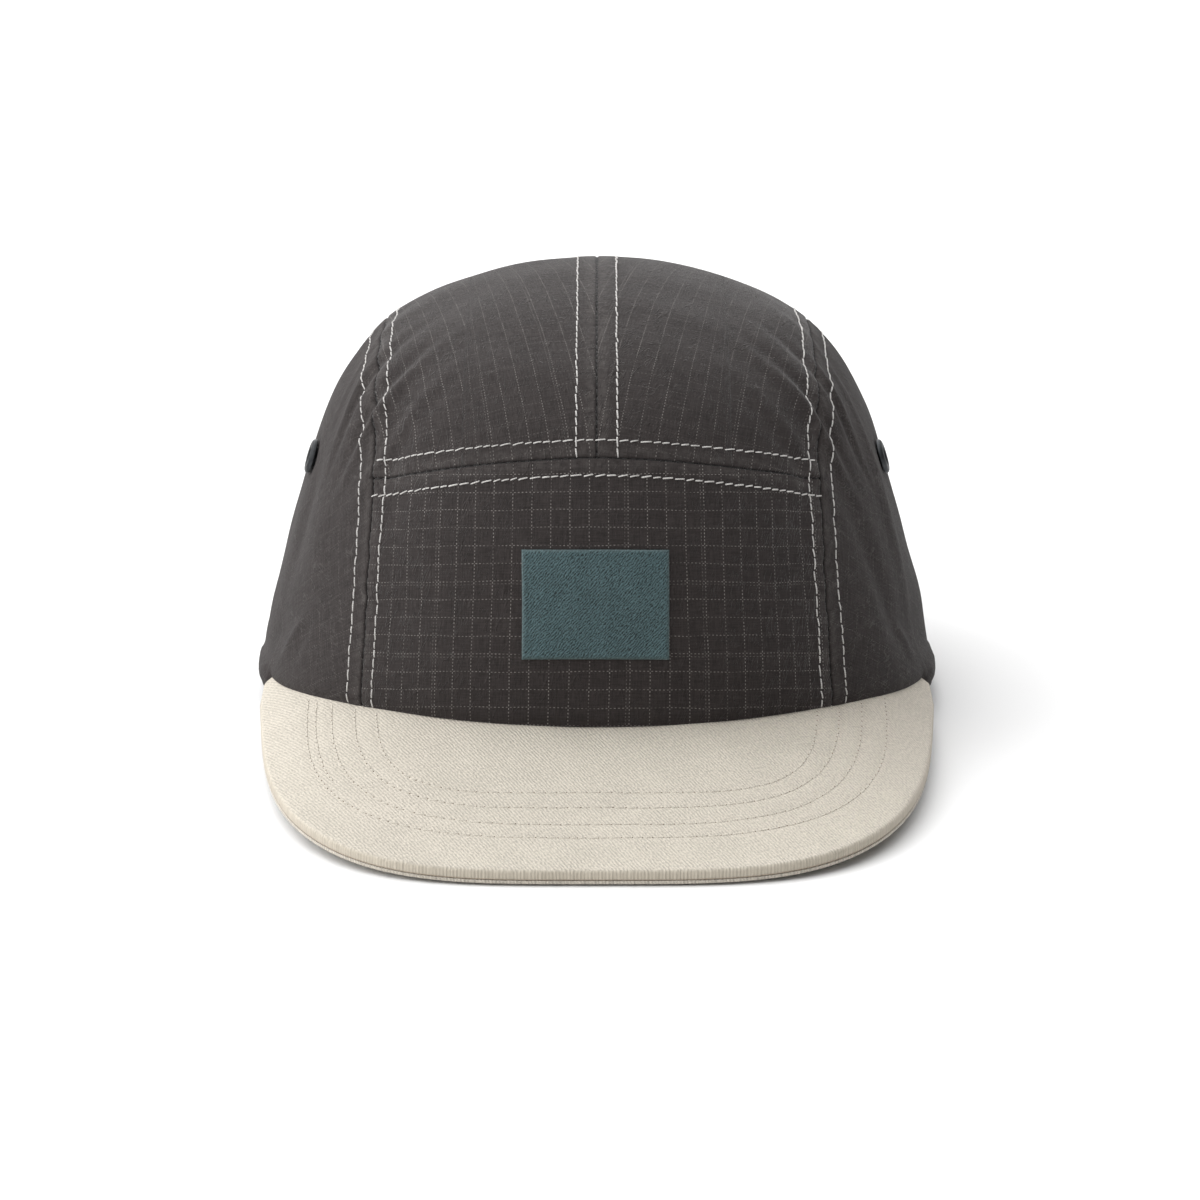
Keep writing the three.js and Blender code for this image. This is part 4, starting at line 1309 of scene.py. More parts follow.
@dataclass(frozen=True)
class Twill:
    """Cloth with a fine broken diagonal line, and ribs where it is folded round an edge, where a painted
    light tone can be mixed in too.
    """

    name: str
    colour: Colour
    contrast: float = 0.2
    pitch: float = 0.78
    turn: float = -26.0
    wobble: float = 0.8
    rib: float = 0.8
    relief: float = 0.14
    even: float = 0.3
    # painted light tone of the folded edge, and its share
    edge: Colour = (0.5, 0.45, 0.38, 1.0)
    edge_shading_share: float = 0.0
    # painted shade along the joint of the two skins
    mark: Colour = (0.2, 0.12, 0.07, 1.0)
    sheen: float = 0.1

    def build(self) -> bpy.types.Material:
        """Makes the material."""
        n = Nodes(self.name)
        uv = n.cloth()
        turned = n.scaled(uv, 1.0, 1.0, self.turn)
        x, _ = n.split(turned)
        ridge = n.ridges(n.total((x, 1.0), (n.woven(uv, 0.6, 0.6, 3.0), self.wobble)), self.pitch)
        ribs = n.ridges(n.value("run"), self.rib)
        folded = n.value("edge")
        ridge = n.math("ADD", ridge, n.math("MULTIPLY", folded, n.math("SUBTRACT", ribs, ridge)))
        broken = n.woven(turned, 1.6 / self.pitch, 0.9 / self.pitch, 1.0, 0.6)
        slub = n.math("ADD", n.woven(uv, 0.25, 2.8, 2.0), n.woven(uv, 2.8, 0.25, 2.0))
        blotch = n.woven(uv, 0.09, 0.09, 4.0)
        tone = n.total((ridge, self.even), (slub, 0.1), (broken, 1.1), (blotch, 0.25))
        dark, pale = shade(self.colour, 1 - self.contrast), shade(self.colour, 1 + self.contrast)
        colour = n.mix(n.step(tone, 0.6, 1.2), dark, pale)
        # Painted light on the folded edge: shade on the peak's front band, a highlight on the patch's rim.
        colour = n.mix(n.math("MULTIPLY", folded, self.edge_shading_share), colour, self.edge)
        # Painted shade: a dark line where the upper skin meets the gap over the under skin.
        colour = n.mix(n.value("mark"), colour, self.mark)
        n.fill(n.shader.inputs["Base Color"], colour)
        n.fill(n.shader.inputs["Roughness"], n.step(slub, 0.7, 1.3, 0.92, 0.78))
        n.shader.inputs["Specular IOR Level"].default_value = 0.3
        n.shader.inputs["Sheen Weight"].default_value = self.sheen
        n.shader.inputs["Sheen Roughness"].default_value = 0.5
        n.height(n.total((slub, 0.25), (broken, 1.2), (ridge, 1.0)), self.relief, 0.8)
        return n.material


@dataclass(frozen=True)
class Webbing:
    """Flat strap cloth with fine cross ribs."""

    name: str = "webbing"
    colour: Colour = linear(58, 55, 55)
    rib: float = 0.9
    weave: float = 0.7

    def build(self) -> bpy.types.Material:
        """Makes the material."""
        n = Nodes(self.name)
        uv = n.cloth()
        x, y = n.split(uv)
        rib = n.ridges(x, self.rib)
        weave = n.ridges(n.total((y, 1.0), (x, 0.5)), self.weave)
        fuzz = n.woven(uv, 1.6, 1.6, 3.0)
        tone = n.step(n.total((weave, 0.25), (fuzz, 1.0), (rib, 0.5)), 0.4, 1.4)
        colour = n.mix(tone, shade(self.colour, 0.65), shade(self.colour, 1.35))
        n.fill(n.shader.inputs["Base Color"], colour)
        n.fill(n.shader.inputs["Roughness"], n.step(fuzz, 0.3, 0.7, 0.7, 0.9))
        n.shader.inputs["Sheen Weight"].default_value = 0.15
        n.height(n.total((rib, 1.0), (weave, 0.6)), 0.2, 0.9)
        return n.material


@dataclass(frozen=True)
class SewingThread:
    """Twisted sewing thread."""

    name: str
    colour: Colour
    twist: float = 0.5

    def build(self) -> bpy.types.Material:
        """Makes the material."""
        n = Nodes(self.name)
        uv = n.cloth()
        x, y = n.split(uv)
        strand = n.math("PINGPONG", n.math("ADD", n.math("DIVIDE", x, self.twist), y), 0.5)
        fuzz = n.woven(uv, 1.2, 3.0, 2.0)
        share = n.step(n.total((strand, 1.0), (fuzz, 0.6)), 0.2, 0.8)
        n.fill(n.shader.inputs["Base Color"], n.mix(share, shade(self.colour, 0.7), self.colour))
        n.fill(n.shader.inputs["Roughness"], n.step(fuzz, 0.3, 0.7, 0.55, 0.75))
        n.shader.inputs["Sheen Weight"].default_value = 0.2
        n.height(strand, 0.12, 0.8)
        return n.material


@dataclass(frozen=True)
class DarkMetal:
    """Blackened metal, a little polished where it is touched."""

    name: str = "dark_metal"
    colour: Colour = linear(32, 34, 36)
    worn: Colour = linear(78, 80, 82)

    def build(self) -> bpy.types.Material:
        """Makes the material."""
        n = Nodes(self.name)
        place = n.add("ShaderNodeTexCoord").outputs["Object"]
        fine = n.noise(place, 900.0, 4.0)
        broad = n.noise(place, 160.0, 3.0)
        ridge = n.add("ShaderNodeNewGeometry").outputs["Pointiness"]
        edge = n.math("MULTIPLY", n.step(ridge, 0.50, 0.56), n.step(broad, 0.3, 0.6))
        colour = n.mix(n.step(broad, 0.35, 0.65), shade(self.colour, 0.7), self.colour)
        n.fill(n.shader.inputs["Base Color"], n.mix(edge, colour, self.worn))
        n.shader.inputs["Metallic"].default_value = 0.8
        n.fill(n.shader.inputs["Roughness"], n.step(fine, 0.3, 0.7, 0.4, 0.56))
        n.height(fine, 0.03, 0.5)
        return n.material


@dataclass(frozen=True)
class Paper:
    """Smooth pale studio floor."""

    name: str = "studio_floor"
    colour: Colour = (0.87, 0.87, 0.87, 1.0)

    def build(self) -> bpy.types.Material:
        """Makes the material."""
        n = Nodes(self.name)
        n.shader.inputs["Base Color"].default_value = self.colour
        n.shader.inputs["Roughness"].default_value = 0.9
        n.shader.inputs["Specular IOR Level"].default_value = 0.1
        return n.material


class Slot(Enum):
    """Names for material slots of the cap, which nothing in the script uses."""

    CROWN = "crown_cloth"
    PEAK = "peak_cloth"
    PATCH = "patch_cloth"
    BAND = "band_cloth"
    WEBBING = "webbing"
    METAL = "dark_metal"


@dataclass
class Finishes:
    """Every material of the scene."""

    front: bpy.types.Material
    top: bpy.types.Material
    side: bpy.types.Material
    peak: bpy.types.Material
    peak_under: bpy.types.Material
    patch: bpy.types.Material
    band: bpy.types.Material
    webbing: bpy.types.Material
    pale_thread: bpy.types.Material
    tonal_thread: bpy.types.Material
    dark_thread: bpy.types.Material
    needle_mark: bpy.types.Material
    metal: bpy.types.Material
    floor: bpy.types.Material

    @classmethod
    def made(cls) -> "Finishes":
        """Makes all of them."""
        # The paler teal is a painted highlight for the patch's rim.
        beige, teal, teal_edge_highlight = linear(187, 180, 168), linear(60, 78, 81), linear(88, 108, 110)
        top = Ripstop("ripstop_top", show_up=0.7, show_across=0.22, crinkle_highlight=0.04, crinkle_turn=15.0)
        side = Ripstop(
            "ripstop_side", show_up=0.24, show_across=0.2, crinkle_highlight=0.08, crinkle_turn=53.0, sheen=0.04
        )
        weave = {"wobble": 1.3, "relief": 0.22, "even": 0.4}
        patch = Twill("patch_twill", teal, 0.75, 0.56, 42, edge=teal_edge_highlight, edge_shading_share=0.6, **weave)
        return cls(
            front=Ripstop("ripstop_front", crinkle_highlight=0.02).build(),
            top=top.build(),
            side=side.build(),
            # The darker tan of the peak's edge band is painted shade.
            peak=Twill("peak_twill", beige, edge_shading_share=0.5, edge=linear(180, 170, 152)).build(),
            peak_under=Twill("peak_under_twill", beige, turn=35).build(),
            patch=patch.build(),
            band=Twill("band_twill", linear(48, 45, 45), 0.25, 1.0, 45).build(),
            webbing=Webbing().build(),
            pale_thread=SewingThread("pale_thread", linear(205, 202, 199)).build(),
            tonal_thread=SewingThread("tonal_thread", linear(204, 197, 184)).build(),
            dark_thread=SewingThread("dark_thread", linear(34, 31, 31)).build(),
            # painted shade for the stitch holes of the peak
            needle_mark=SewingThread("needle_mark", linear(128, 114, 96)).build(),
            metal=DarkMetal().build(),
            floor=Paper().build(),
        )


def dress(
    made: bpy.types.Object, material: bpy.types.Material, nodes: Sequence[str] = ()
) -> bpy.types.Object:
    """Gives a piece its finish and its place in the frame.

    Args:
        made: the piece.
        material: its material.
        nodes: the solids of the frame that it stands for.

    Returns:
        The piece.
    """
    made.data.materials.clear()
    made.data.materials.append(material)
    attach(made, "root")
    if nodes:
        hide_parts(*nodes)
    log.info("%s: %d points", made.name, len(made.data.vertices))
    return made


# The cap's assemblies


@dataclass
class Panels:
    """The five cloth panels of the crown."""

    cloth: Cloth
    shop: Shop
    finish: Finishes
    cell: float = 0.85
    seam_shift: float = 0.04
    level: float = 0.27
    grain_turn: float = 9.0
    side_turn: float = 24.0
    pieces_apart: float = 300.0
    over_peak: float = 0.05
    inside_over_peak: float = 0.3
    behind_horn: float = 0.6
    worn_place: float = 1.6
    worn_half: float = 1.2
    # half width of the painted shade in the seams
    seam_shade_half: float = 0.22
    hem_row: tuple[float, float] = (1.98, np.pi - 0.42)
    hem_points: int = 300
    thread_up: Thread = Thread(slant=0.1, visible=0.91, stray=0.08)
    thread_across: Thread = Thread(slant=0.2, visible=0.9, stray=0.03)
    thread_dark: Thread = Thread(pitch=2.3, visible=0.7, radius=0.13, slant=0.04, height=0.02)

    def _walls(self, grid: Array) -> tuple[Array, Array]:
        """Outer and inner face of a panel."""
        crown = self.cloth.crown
        flat = grid.reshape(-1, 3)
        outer = self.cloth.lay(flat)
        inner = flat + (self.cloth.folds(flat) - crown.sizes.wall)[:, None] * crown.normal(flat)
        ahead = flat[:, 1] < -crown.peak.sizes.horn_place + self.behind_horn
        for face, room in ((inner, self.inside_over_peak), (outer, self.over_peak)):
            lowest = np.where(ahead, crown.peak.top(face[:, 0], face[:, 1]) + room, 0)
            face[:, 2] = np.maximum(face[:, 2], lowest)
        return outer.reshape(grid.shape), inner.reshape(grid.shape)

    def _marks(self, grid: Array) -> dict[str, Array]:
        """Where the cloth is rubbed beside the seams, and where it sinks into them and takes painted shade.
        """
        flat = grid.reshape(-1, 3)
        wear, seam_shade_mask = np.zeros(len(flat)), np.zeros(len(flat))
        for seam in self.cloth.seams.values():
            along, off = seam.line.locate(flat)
            near = bump(seam.line.past_end(along), seam.sizes.fade)
            wear = np.maximum(wear, near * bump(off - self.worn_place, self.worn_half))
            seam_shade_mask = np.maximum(seam_shade_mask, near * bump(off, self.seam_shade_half))
        return {"wear": wear.reshape(grid.shape[:2]), "seam": seam_shade_mask.reshape(grid.shape[:2])}

    def _steps(self, length: float) -> Array:
        """Places from 0 to 1 over a length, closer together beside the seams at its ends."""
        close = np.array([0.0, 0.17, 0.36, 0.6, 1.0]) / length
        middle = np.linspace(close[-1], 1 - close[-1], int((length - 2) / self.cell))
        return np.concatenate([close[:-1], middle, 1 - close[:-1][::-1]])

    @staticmethod
    def _cloth_uv(grid: Array, turn: float, start: float) -> Array:
        """Cloth coordinates by distances across and along a grid, turned by the grain."""
        across = run_along(grid[grid.shape[0] // 2])
        along = np.linalg.norm(np.diff(grid, axis=0), axis=2).cumsum(0)
        along = np.concatenate([np.zeros((1, grid.shape[1])), along])
        u = np.broadcast_to(across[None, :] - across[-1] / 2 + start, along.shape)
        c, s = math.cos(math.radians(turn)), math.sin(math.radians(turn))
        return np.stack([u * c - along * s, u * s + along * c], -1)

    def _strip_grid(self, shares: Array, start: Array, end: Array, stops: Array, shift: float) -> Array:
        """Rows and columns of points over the middle strip, spaced by their distance along it."""
        crown = self.cloth.crown
        t = np.linspace(0, 1, 160)[:, None]
        rays = start[None, :] + (end - start)[None, :] * t
        fine = crown.strip(shares[None, :], shift, rays)
        reach = np.linalg.norm(np.diff(fine, axis=0), axis=2).cumsum(0)
        reach = np.concatenate([np.zeros((1, len(shares))), reach])
        even = np.stack(
            [np.interp(stops * reach[-1, j], reach[:, j], rays[:, j]) for j in range(len(shares))], axis=1
        )
        return crown.strip(shares[None, :], shift, even)

    def front(self) -> bpy.types.Object:
        """The front panel."""
        crown = self.cloth.crown
        shares = 2 * self._steps(120) - 1
        start = crown.rim_ray(shares, -self.seam_shift)
        end = crown.cross_ray(shares, -self.seam_shift)
        grid = self._strip_grid(shares, start, end, self._steps(66), -self.seam_shift)
        outer, inner = self._walls(grid)
        across = run_along(grid[grid.shape[0] // 2])
        u = np.broadcast_to(across[None, :] - across[-1] / 2 + 1.0, grid.shape[:2])
        uv = np.stack([u, (grid[..., 2] + self.level * grid[..., 1]) * 1.06], -1)
        made = self.shop.make("front_panel_cloth", shell(outer, inner, uv, self._marks(grid)))
        return dress(made, self.finish.front, ["front_panel"])

    def top(self, side: int, word: str) -> bpy.types.Object:
        """One of the two top panels."""
        crown = self.cloth.crown
        arch = crown.sizes.arch_half / float(crown.seam_half(0.0))
        middle = self.seam_shift / crown.sizes.seam_top_half
        over = middle + (arch - middle) * np.sin(self._steps(54) * np.pi / 2)
        beside = arch + (1 - arch) * self._steps(22)[1:]
        shares = np.concatenate([over, beside])
        start = crown.cross_ray(shares, -self.seam_shift)
        end = crown.end_ray(shares, -self.seam_shift)
        grid = self._strip_grid(shares, start, end, self._steps(235), -self.seam_shift)
        grid = grid * np.array([side, 1, 1])
        outer, inner = self._walls(grid)
        uv = self._cloth_uv(grid, self.grain_turn, 0.0) * np.array([side, 1])
        parts = shell(outer, inner, uv, self._marks(grid))
        made = self.shop.make(f"top_panel_{word}_cloth", parts)
        return dress(made, self.finish.top, [f"top_panel_{word}"])

    def side(self, side: int, word: str) -> bpy.types.Object:
        """One of the two side panels."""
        crown = self.cloth.crown
        shift, one = self.seam_shift, np.array([1.0])
        rays = [float(find(one, shift)[0]) for find in (crown.rim_ray, crown.cross_ray, crown.end_ray)]
        corner = crown.sizes.seam_top_half
        below = lambda p: p[..., 2] < crown.cross_height(corner)  # noqa: E731
        back_corner = float(crown.ray_where(one, shift, np.pi / 2, np.pi, below)[0])
        u, v = self._steps(190), self._steps(98)
        count = len(u)
        front = crown.strip(1.0, shift, rays[0] + (rays[1] - rays[0]) * v)[:, 1:]
        top = crown.strip(1.0, shift, rays[1] + (back_corner - rays[1]) * u)[:, 1:]
        back = crown.strip(1.0, shift, rays[2] + (back_corner - rays[2]) * v)[:, 1:]
        y = front[0, 0] + (back[0, 0] - front[0, 0]) * u
        at = lambda z: np.stack([crown.side_at(y, z), y, z], axis=-1)  # noqa: E731
        rim = crown.settle(at, np.zeros(count))[:, 1:]
        u2, v2 = u[None, :, None], v[:, None, None]
        flat = (1 - v2) * rim[None] + v2 * top[None] + (1 - u2) * front[:, None] + u2 * back[:, None]
        flat = flat - (1 - v2) * ((1 - u2) * rim[0] + u2 * rim[-1]) - v2 * ((1 - u2) * top[0] + u2 * top[-1])
        grid = np.stack([side * crown.side_at(flat[..., 0], flat[..., 1]), flat[..., 0], flat[..., 1]], -1)
        outer, inner = self._walls(grid)
        uv = self._cloth_uv(grid, self.side_turn, 7.0 + self.pieces_apart * side)
        seat = self.cloth.eyelet_seats()[0 if side < 0 else 1]
        middle = (grid[:-1, :-1] + grid[1:, 1:]) / 2
        keep = np.linalg.norm(middle - seat, axis=2) > self.cloth.seat.hole
        parts = shell(outer, inner, uv, self._marks(grid), keep)
        made = self.shop.make(f"side_panel_{word}_cloth", parts)
        return dress(made, self.finish.side, [f"side_panel_{word}"])

    def _row(self, line: Array) -> tuple[Array, Array]:
        """A stitched row laid on the cloth."""
        even = even_points(line, max(int(Line(line).length / 0.6), 4))
        return self.cloth.lay(even), self.cloth.crown.normal(even)

    def topstitching(self) -> None:
        """The pale rows beside every seam."""
        crown = self.cloth.crown
        up, across = [], []
        for side in (-1, 1):
            line = self.cloth.side_lines[side].points
            up.extend(crown.beside(line, off * side) for off in (SIDE_ROWS.inner, -SIDE_ROWS.outer))
        middle, cross = self.cloth.middle_line.points, self.cloth.cross_line.points
        up.extend(crown.beside(middle, off) for off in (MIDDLE_ROWS.outer, -MIDDLE_ROWS.inner))
        across.extend(crown.beside(cross, off) for off in (CROSS_ROWS.outer, -CROSS_ROWS.inner))
        named = (("topstitching", up, self.thread_up), ("topstitching_across", across, self.thread_across))
        for name, lines, thread in named:
            parts = stitches([self._row(line) for line in lines], thread, SEED)
            dress(self.shop.make(name, parts), self.finish.pale_thread)

    def seam_stitching(self) -> bpy.types.Object:
        """The dark stitches that show in the seams and along the hem and the arch."""
        crown, rows = self.cloth.crown, []
        for seam in self.cloth.seams.values():
            rows.append(self._row(seam.line.points))
        angle = np.linspace(*self.hem_row, self.hem_points)
        for side in (-1, 1):
            foot = crown.settle(lambda z: crown.around(side * angle, z), np.zeros(self.hem_points))
            height = foot[:, 2] + crown.sizes.hem_height - self.cloth.hem_sizes.row_below
            rows.append(self._row(crown.around(side * angle, height)))
        rows.append(self._row(crown.beside(self.cloth.arch_line.points, self.cloth.hem_sizes.binding_row)))
        parts = stitches(rows, self.thread_dark, SEED + 1)
        return dress(self.shop.make("seam_stitching", parts), self.finish.dark_thread)

    def build(self) -> None:
        """Builds the whole crown."""
        self.front()
        for side, word in ((-1, "left"), (1, "right")):
            self.top(side, word)
            self.side(side, word)
        self.topstitching()
        self.seam_stitching()


class PeakRow(NamedTuple):
    """A stitched row of the peak: half width, place of its tip, how square it is, and how far it runs."""

    half: float
    tip: float
    corner: float
    share: float = 1.0


PEAK_ROWS = (
    PeakRow(53.5, 133.3, 4.4),
    PeakRow(59.0, 140.3, 3.8),
    PeakRow(64.6, 148.0, 3.5),
    PeakRow(70.7, 154.1, 3.35),
    PeakRow(68.6, 153.4, 3.3, 0.2),
)


@dataclass
class PeakSkins:
    """The two cloth skins of the peak and its stitched rows."""

    crown: Crown
    shop: Shop
    finish: Finishes
    columns: int = 240
    rows: int = 78
    top_shown: float = 2.25
    seam_gap: float = 0.12
    trim: float = 2.4
    dent: float = 0.12
    dent_half: float = 0.8
    fullness: float = 0.018
    waves: int = 14
    shortest: float = 14.0
    longest: float = 40.0
    thread: Thread = Thread(pitch=2.5, visible=0.84, radius=0.16, slant=0.04, height=0.03)
    # brown dots of painted shade in the stitch holes
    needle: Thread = Thread(pitch=2.5, visible=0.13, radius=0.14, slant=0.03, height=0.04, first=0.5)

    def _plan(self) -> tuple[Array, Array]:
        """Inner and outer points of each column in plan."""
        crown, p = self.crown, self.crown.peak
        horn_z = float(p.top(crown.sizes.half_width, -p.sizes.horn_place))
        horn_x = float(crown.side_at(-p.sizes.horn_place, horn_z))
        horn = math.atan2(horn_x, p.sizes.horn_place)
        angle = np.linspace(-horn, horn, 1200)
        z = np.full(angle.shape, p.sizes.thick + p.sizes.rise)
        for _ in range(14):
            points = crown.around(angle, z)
            z = p.top(points[:, 0], points[:, 1])
        points = crown.around(angle, z)
        out = crown.normal(points)[:, :2]
        inner = points[:, :2] - crown.sizes.wall * unit(out)
        outer = p.outline(self.columns)
        ahead = np.maximum(-outer[:, 1] - p.sizes.widest, 0)
        outer[:, 1] += self.trim * ahead / (p.tip - p.sizes.widest)
        return even_points(inner, self.columns), outer

    def row_line(self, row: PeakRow) -> Line:
        """A stitched row of the peak, from the crown round the front and back to the crown."""
        p = self.crown.peak
        turn = np.linspace(0, np.pi, 1200)
        t = np.sin(turn)
        x = -np.sign(np.cos(turn)) * row.half * (1 - t**row.corner) ** (1 / row.corner)
        y = -p.sizes.widest - (row.tip - p.sizes.widest) * t
        z = p.top(x, y)
        ahead = self.crown.outside(x, y, np.maximum(z, 0)) > 0.012
        line = even_points(np.stack([x, y, z], 1)[ahead], 500)
        return Line(line[: int(500 * row.share)])

    def _relief(self, points: Array) -> Array:
        """Rise of the upper cloth: sunk under each row and softly full between them."""
        rise = np.zeros(len(points))
        for row in PEAK_ROWS:
            line = self.row_line(row)
            along, off = line.locate(points)
            rise -= self.dent * bump(off, self.dent_half) * bump(line.past_end(along), 1.0)
        random = np.random.default_rng(SEED + 3)
        for _ in range(self.waves):
            way = unit(np.append(random.normal(size=2), 0)) * 2 * np.pi
            way = way / random.uniform(self.shortest, self.longest)
            rise += self.fullness * np.sin(points @ way + random.uniform(0, FULL_TURN))
        return rise

    def skin(
        self, name: str, top: float, bottom: float, round_top: float, round_low: float, relief: bool
    ) -> MeshParts:
        """One skin as a closed sweep from horn to horn.

        Args:
            name: which skin, for the log.
            top: depth of its upper face under the peak's upper face.
            bottom: depth of its lower face.
            round_top: radius of its upper edge.
            round_low: radius of its lower edge.
            relief: whether the stitched rows press into it.

        Returns:
            Its shape.
        """
        inner, outer = self._plan()
        p = self.crown.peak
        way = unit(outer - inner)
        tangent = unit(np.gradient(outer, axis=0))
        facing = np.stack([-tangent[:, 1], tangent[:, 0]], 1)
        facing = facing * np.sign((facing * way).sum(1, keepdims=True))
        upper_end = outer - facing * round_top
        lower_end = outer - facing * round_low
        plan, drop, edge = [], [], []
        for t in np.linspace(0, 1, self.rows):
            plan.append(inner + (upper_end - inner) * t)
            drop.append(top)
            edge.append(0.0)
        for turn in np.linspace(0, np.pi / 2, 6)[1:]:
            plan.append(upper_end + facing * round_top * math.sin(turn))
            drop.append(top + round_top * (1 - math.cos(turn)))
            edge.append(math.sin(turn) ** 2)
        for depth in np.linspace(top + round_top, bottom - round_low, 5)[1:]:
            plan.append(outer)
            drop.append(depth)
            edge.append(1.0)
        for turn in np.linspace(0, np.pi / 2, 4)[1:]:
            plan.append(lower_end + facing * round_low * math.cos(turn))
            drop.append(bottom - round_low * (1 - math.sin(turn)))
            edge.append(1.0)
        for t in np.linspace(0, 1, 24)[1:]:
            plan.append(lower_end + (inner - lower_end) * t)
            drop.append(bottom)
            edge.append(0.0)
        plan = np.stack(plan, 1)
        drop = np.array(drop)[None, :]
        x, y = plan[..., 0], plan[..., 1]
        normal = p.normal(x, y)
        z = p.top(x, y) - drop / normal[..., 2]
        points = np.stack([x, y, z], -1)
        if relief:
            rise = self._relief(points[:, : self.rows].reshape(-1, 3)).reshape(-1, self.rows)
            points[:, : self.rows] += rise[..., None] * normal[:, : self.rows]
        points[..., 2] = np.maximum(points[..., 2], 0.0)
        run = run_along(outer)
        # The turned edge band; on the upper skin its colour is darkened as painted shade.
        on_edge = np.broadcast_to(np.array(edge)[None, :], x.shape)
        uv = np.stack([x, y], -1)
        along = np.broadcast_to(run[:, None], x.shape)
        # Painted shade along the lower edge of the upper skin, over the gap between the skins.
        mark = smooth_step(bottom - 0.32, bottom - 0.05, drop) * on_edge if relief else 0 * on_edge
        log.info("%s: %d columns of %d", name, *x.shape)
        return sweep(points, uv, {"edge": on_edge, "mark": 0.8 * mark, "run": along})

    def stitched_rows(self) -> None:
        """The tonal rows on the peak, with brown dots of painted shade in the holes where the thread goes
        in.
        """
        rows = []
        for row in PEAK_ROWS:
            line = self.row_line(row).points
            rise = self._relief(line)
            normal = self.crown.peak.normal(line[:, 0], line[:, 1])
            rows.append((line + rise[:, None] * normal, normal))
        parts = stitches(rows, self.thread, SEED + 2)
        dress(self.shop.make("peak_stitching", parts), self.finish.tonal_thread)
        # Painted shade: brown dots in the stitch holes between the stitches.
        hole_shade_dots = stitches(rows, self.needle, SEED + 2)
        dress(self.shop.make("peak_needle_marks", hole_shade_dots), self.finish.needle_mark)

    def build(self) -> None:
        """Builds the peak."""
        s = self.crown.peak.sizes
        top = self.skin("upper skin", 0.0, self.top_shown, s.edge_round, 0.2, True)
        dress(self.shop.make("peak_top_cloth", top), self.finish.peak, ["peak_top"])
        under = self.skin("under skin", self.top_shown + self.seam_gap, s.thick, 0.2, 0.3, False)
        dress(self.shop.make("peak_under_cloth", under), self.finish.peak_under, ["peak_under"])
        self.stitched_rows()


@dataclass
class Patch:
    """The plain patch on the front panel."""

    cloth: Cloth
    shop: Shop
    finish: Finishes
    width: float = 34.9
    height: float = 25.3
    aside: float = -0.3
    bow: float = 0.4
    middle: float = 46.3
    thick: float = 0.7
    cell: float = 0.5
    over_cloth: float = 0.12
    rim: float = 0.16
    rim_place: float = 0.8
    rim_half: float = 0.6
    rounded: float = 0.35

    def build(self) -> None:
        """Builds the patch."""
        crown = self.cloth.crown
        columns, rows = int(self.width / self.cell), int(self.height / self.cell)
        x = self.width * (np.linspace(0, 1, columns) - 0.5)
        z = self.middle + self.height * (0.5 - np.linspace(0, 1, rows))
        x, z = np.meshgrid(x, z)
        bowed = z + self.bow * (0.5 - (2 * x / self.width) ** 2)
        grid = np.stack([x + self.aside, crown.depth_at(x + self.aside, bowed, True), bowed], -1)
        flat = grid.reshape(-1, 3)
        inside = np.minimum(self.width / 2 - np.abs(x), self.height / 2 - np.abs(z - self.middle)).ravel()
        rise = self.cloth.rise(flat)
        smooth = self.cloth.folds(flat) + self.cloth.uneven(flat)
        full = self.rim * bump(inside - self.rim_place, self.rim_half)
        full = full - self.rounded * smooth_step(0.5, 0.0, inside)
        wave = 0.07 * np.sin(flat[:, 0] * 0.31 + flat[:, 2] * 0.22) + 0.05 * np.sin(flat[:, 0] * 0.9)
        normal = crown.normal(flat)
        low = np.maximum(rise, smooth) + self.over_cloth
        outer = flat + (low + self.thick + full + wave)[:, None] * normal
        inner = flat + low[:, None] * normal
        # The rim, which takes a painted highlight.
        edge = smooth_step(0.75, 0.2, inside).reshape(x.shape)
        uv = np.stack([x, z], -1)
        parts = shell(outer.reshape(grid.shape), inner.reshape(grid.shape), uv, {"edge": edge})
        dress(self.shop.make("patch", parts), self.finish.patch, ["label"])


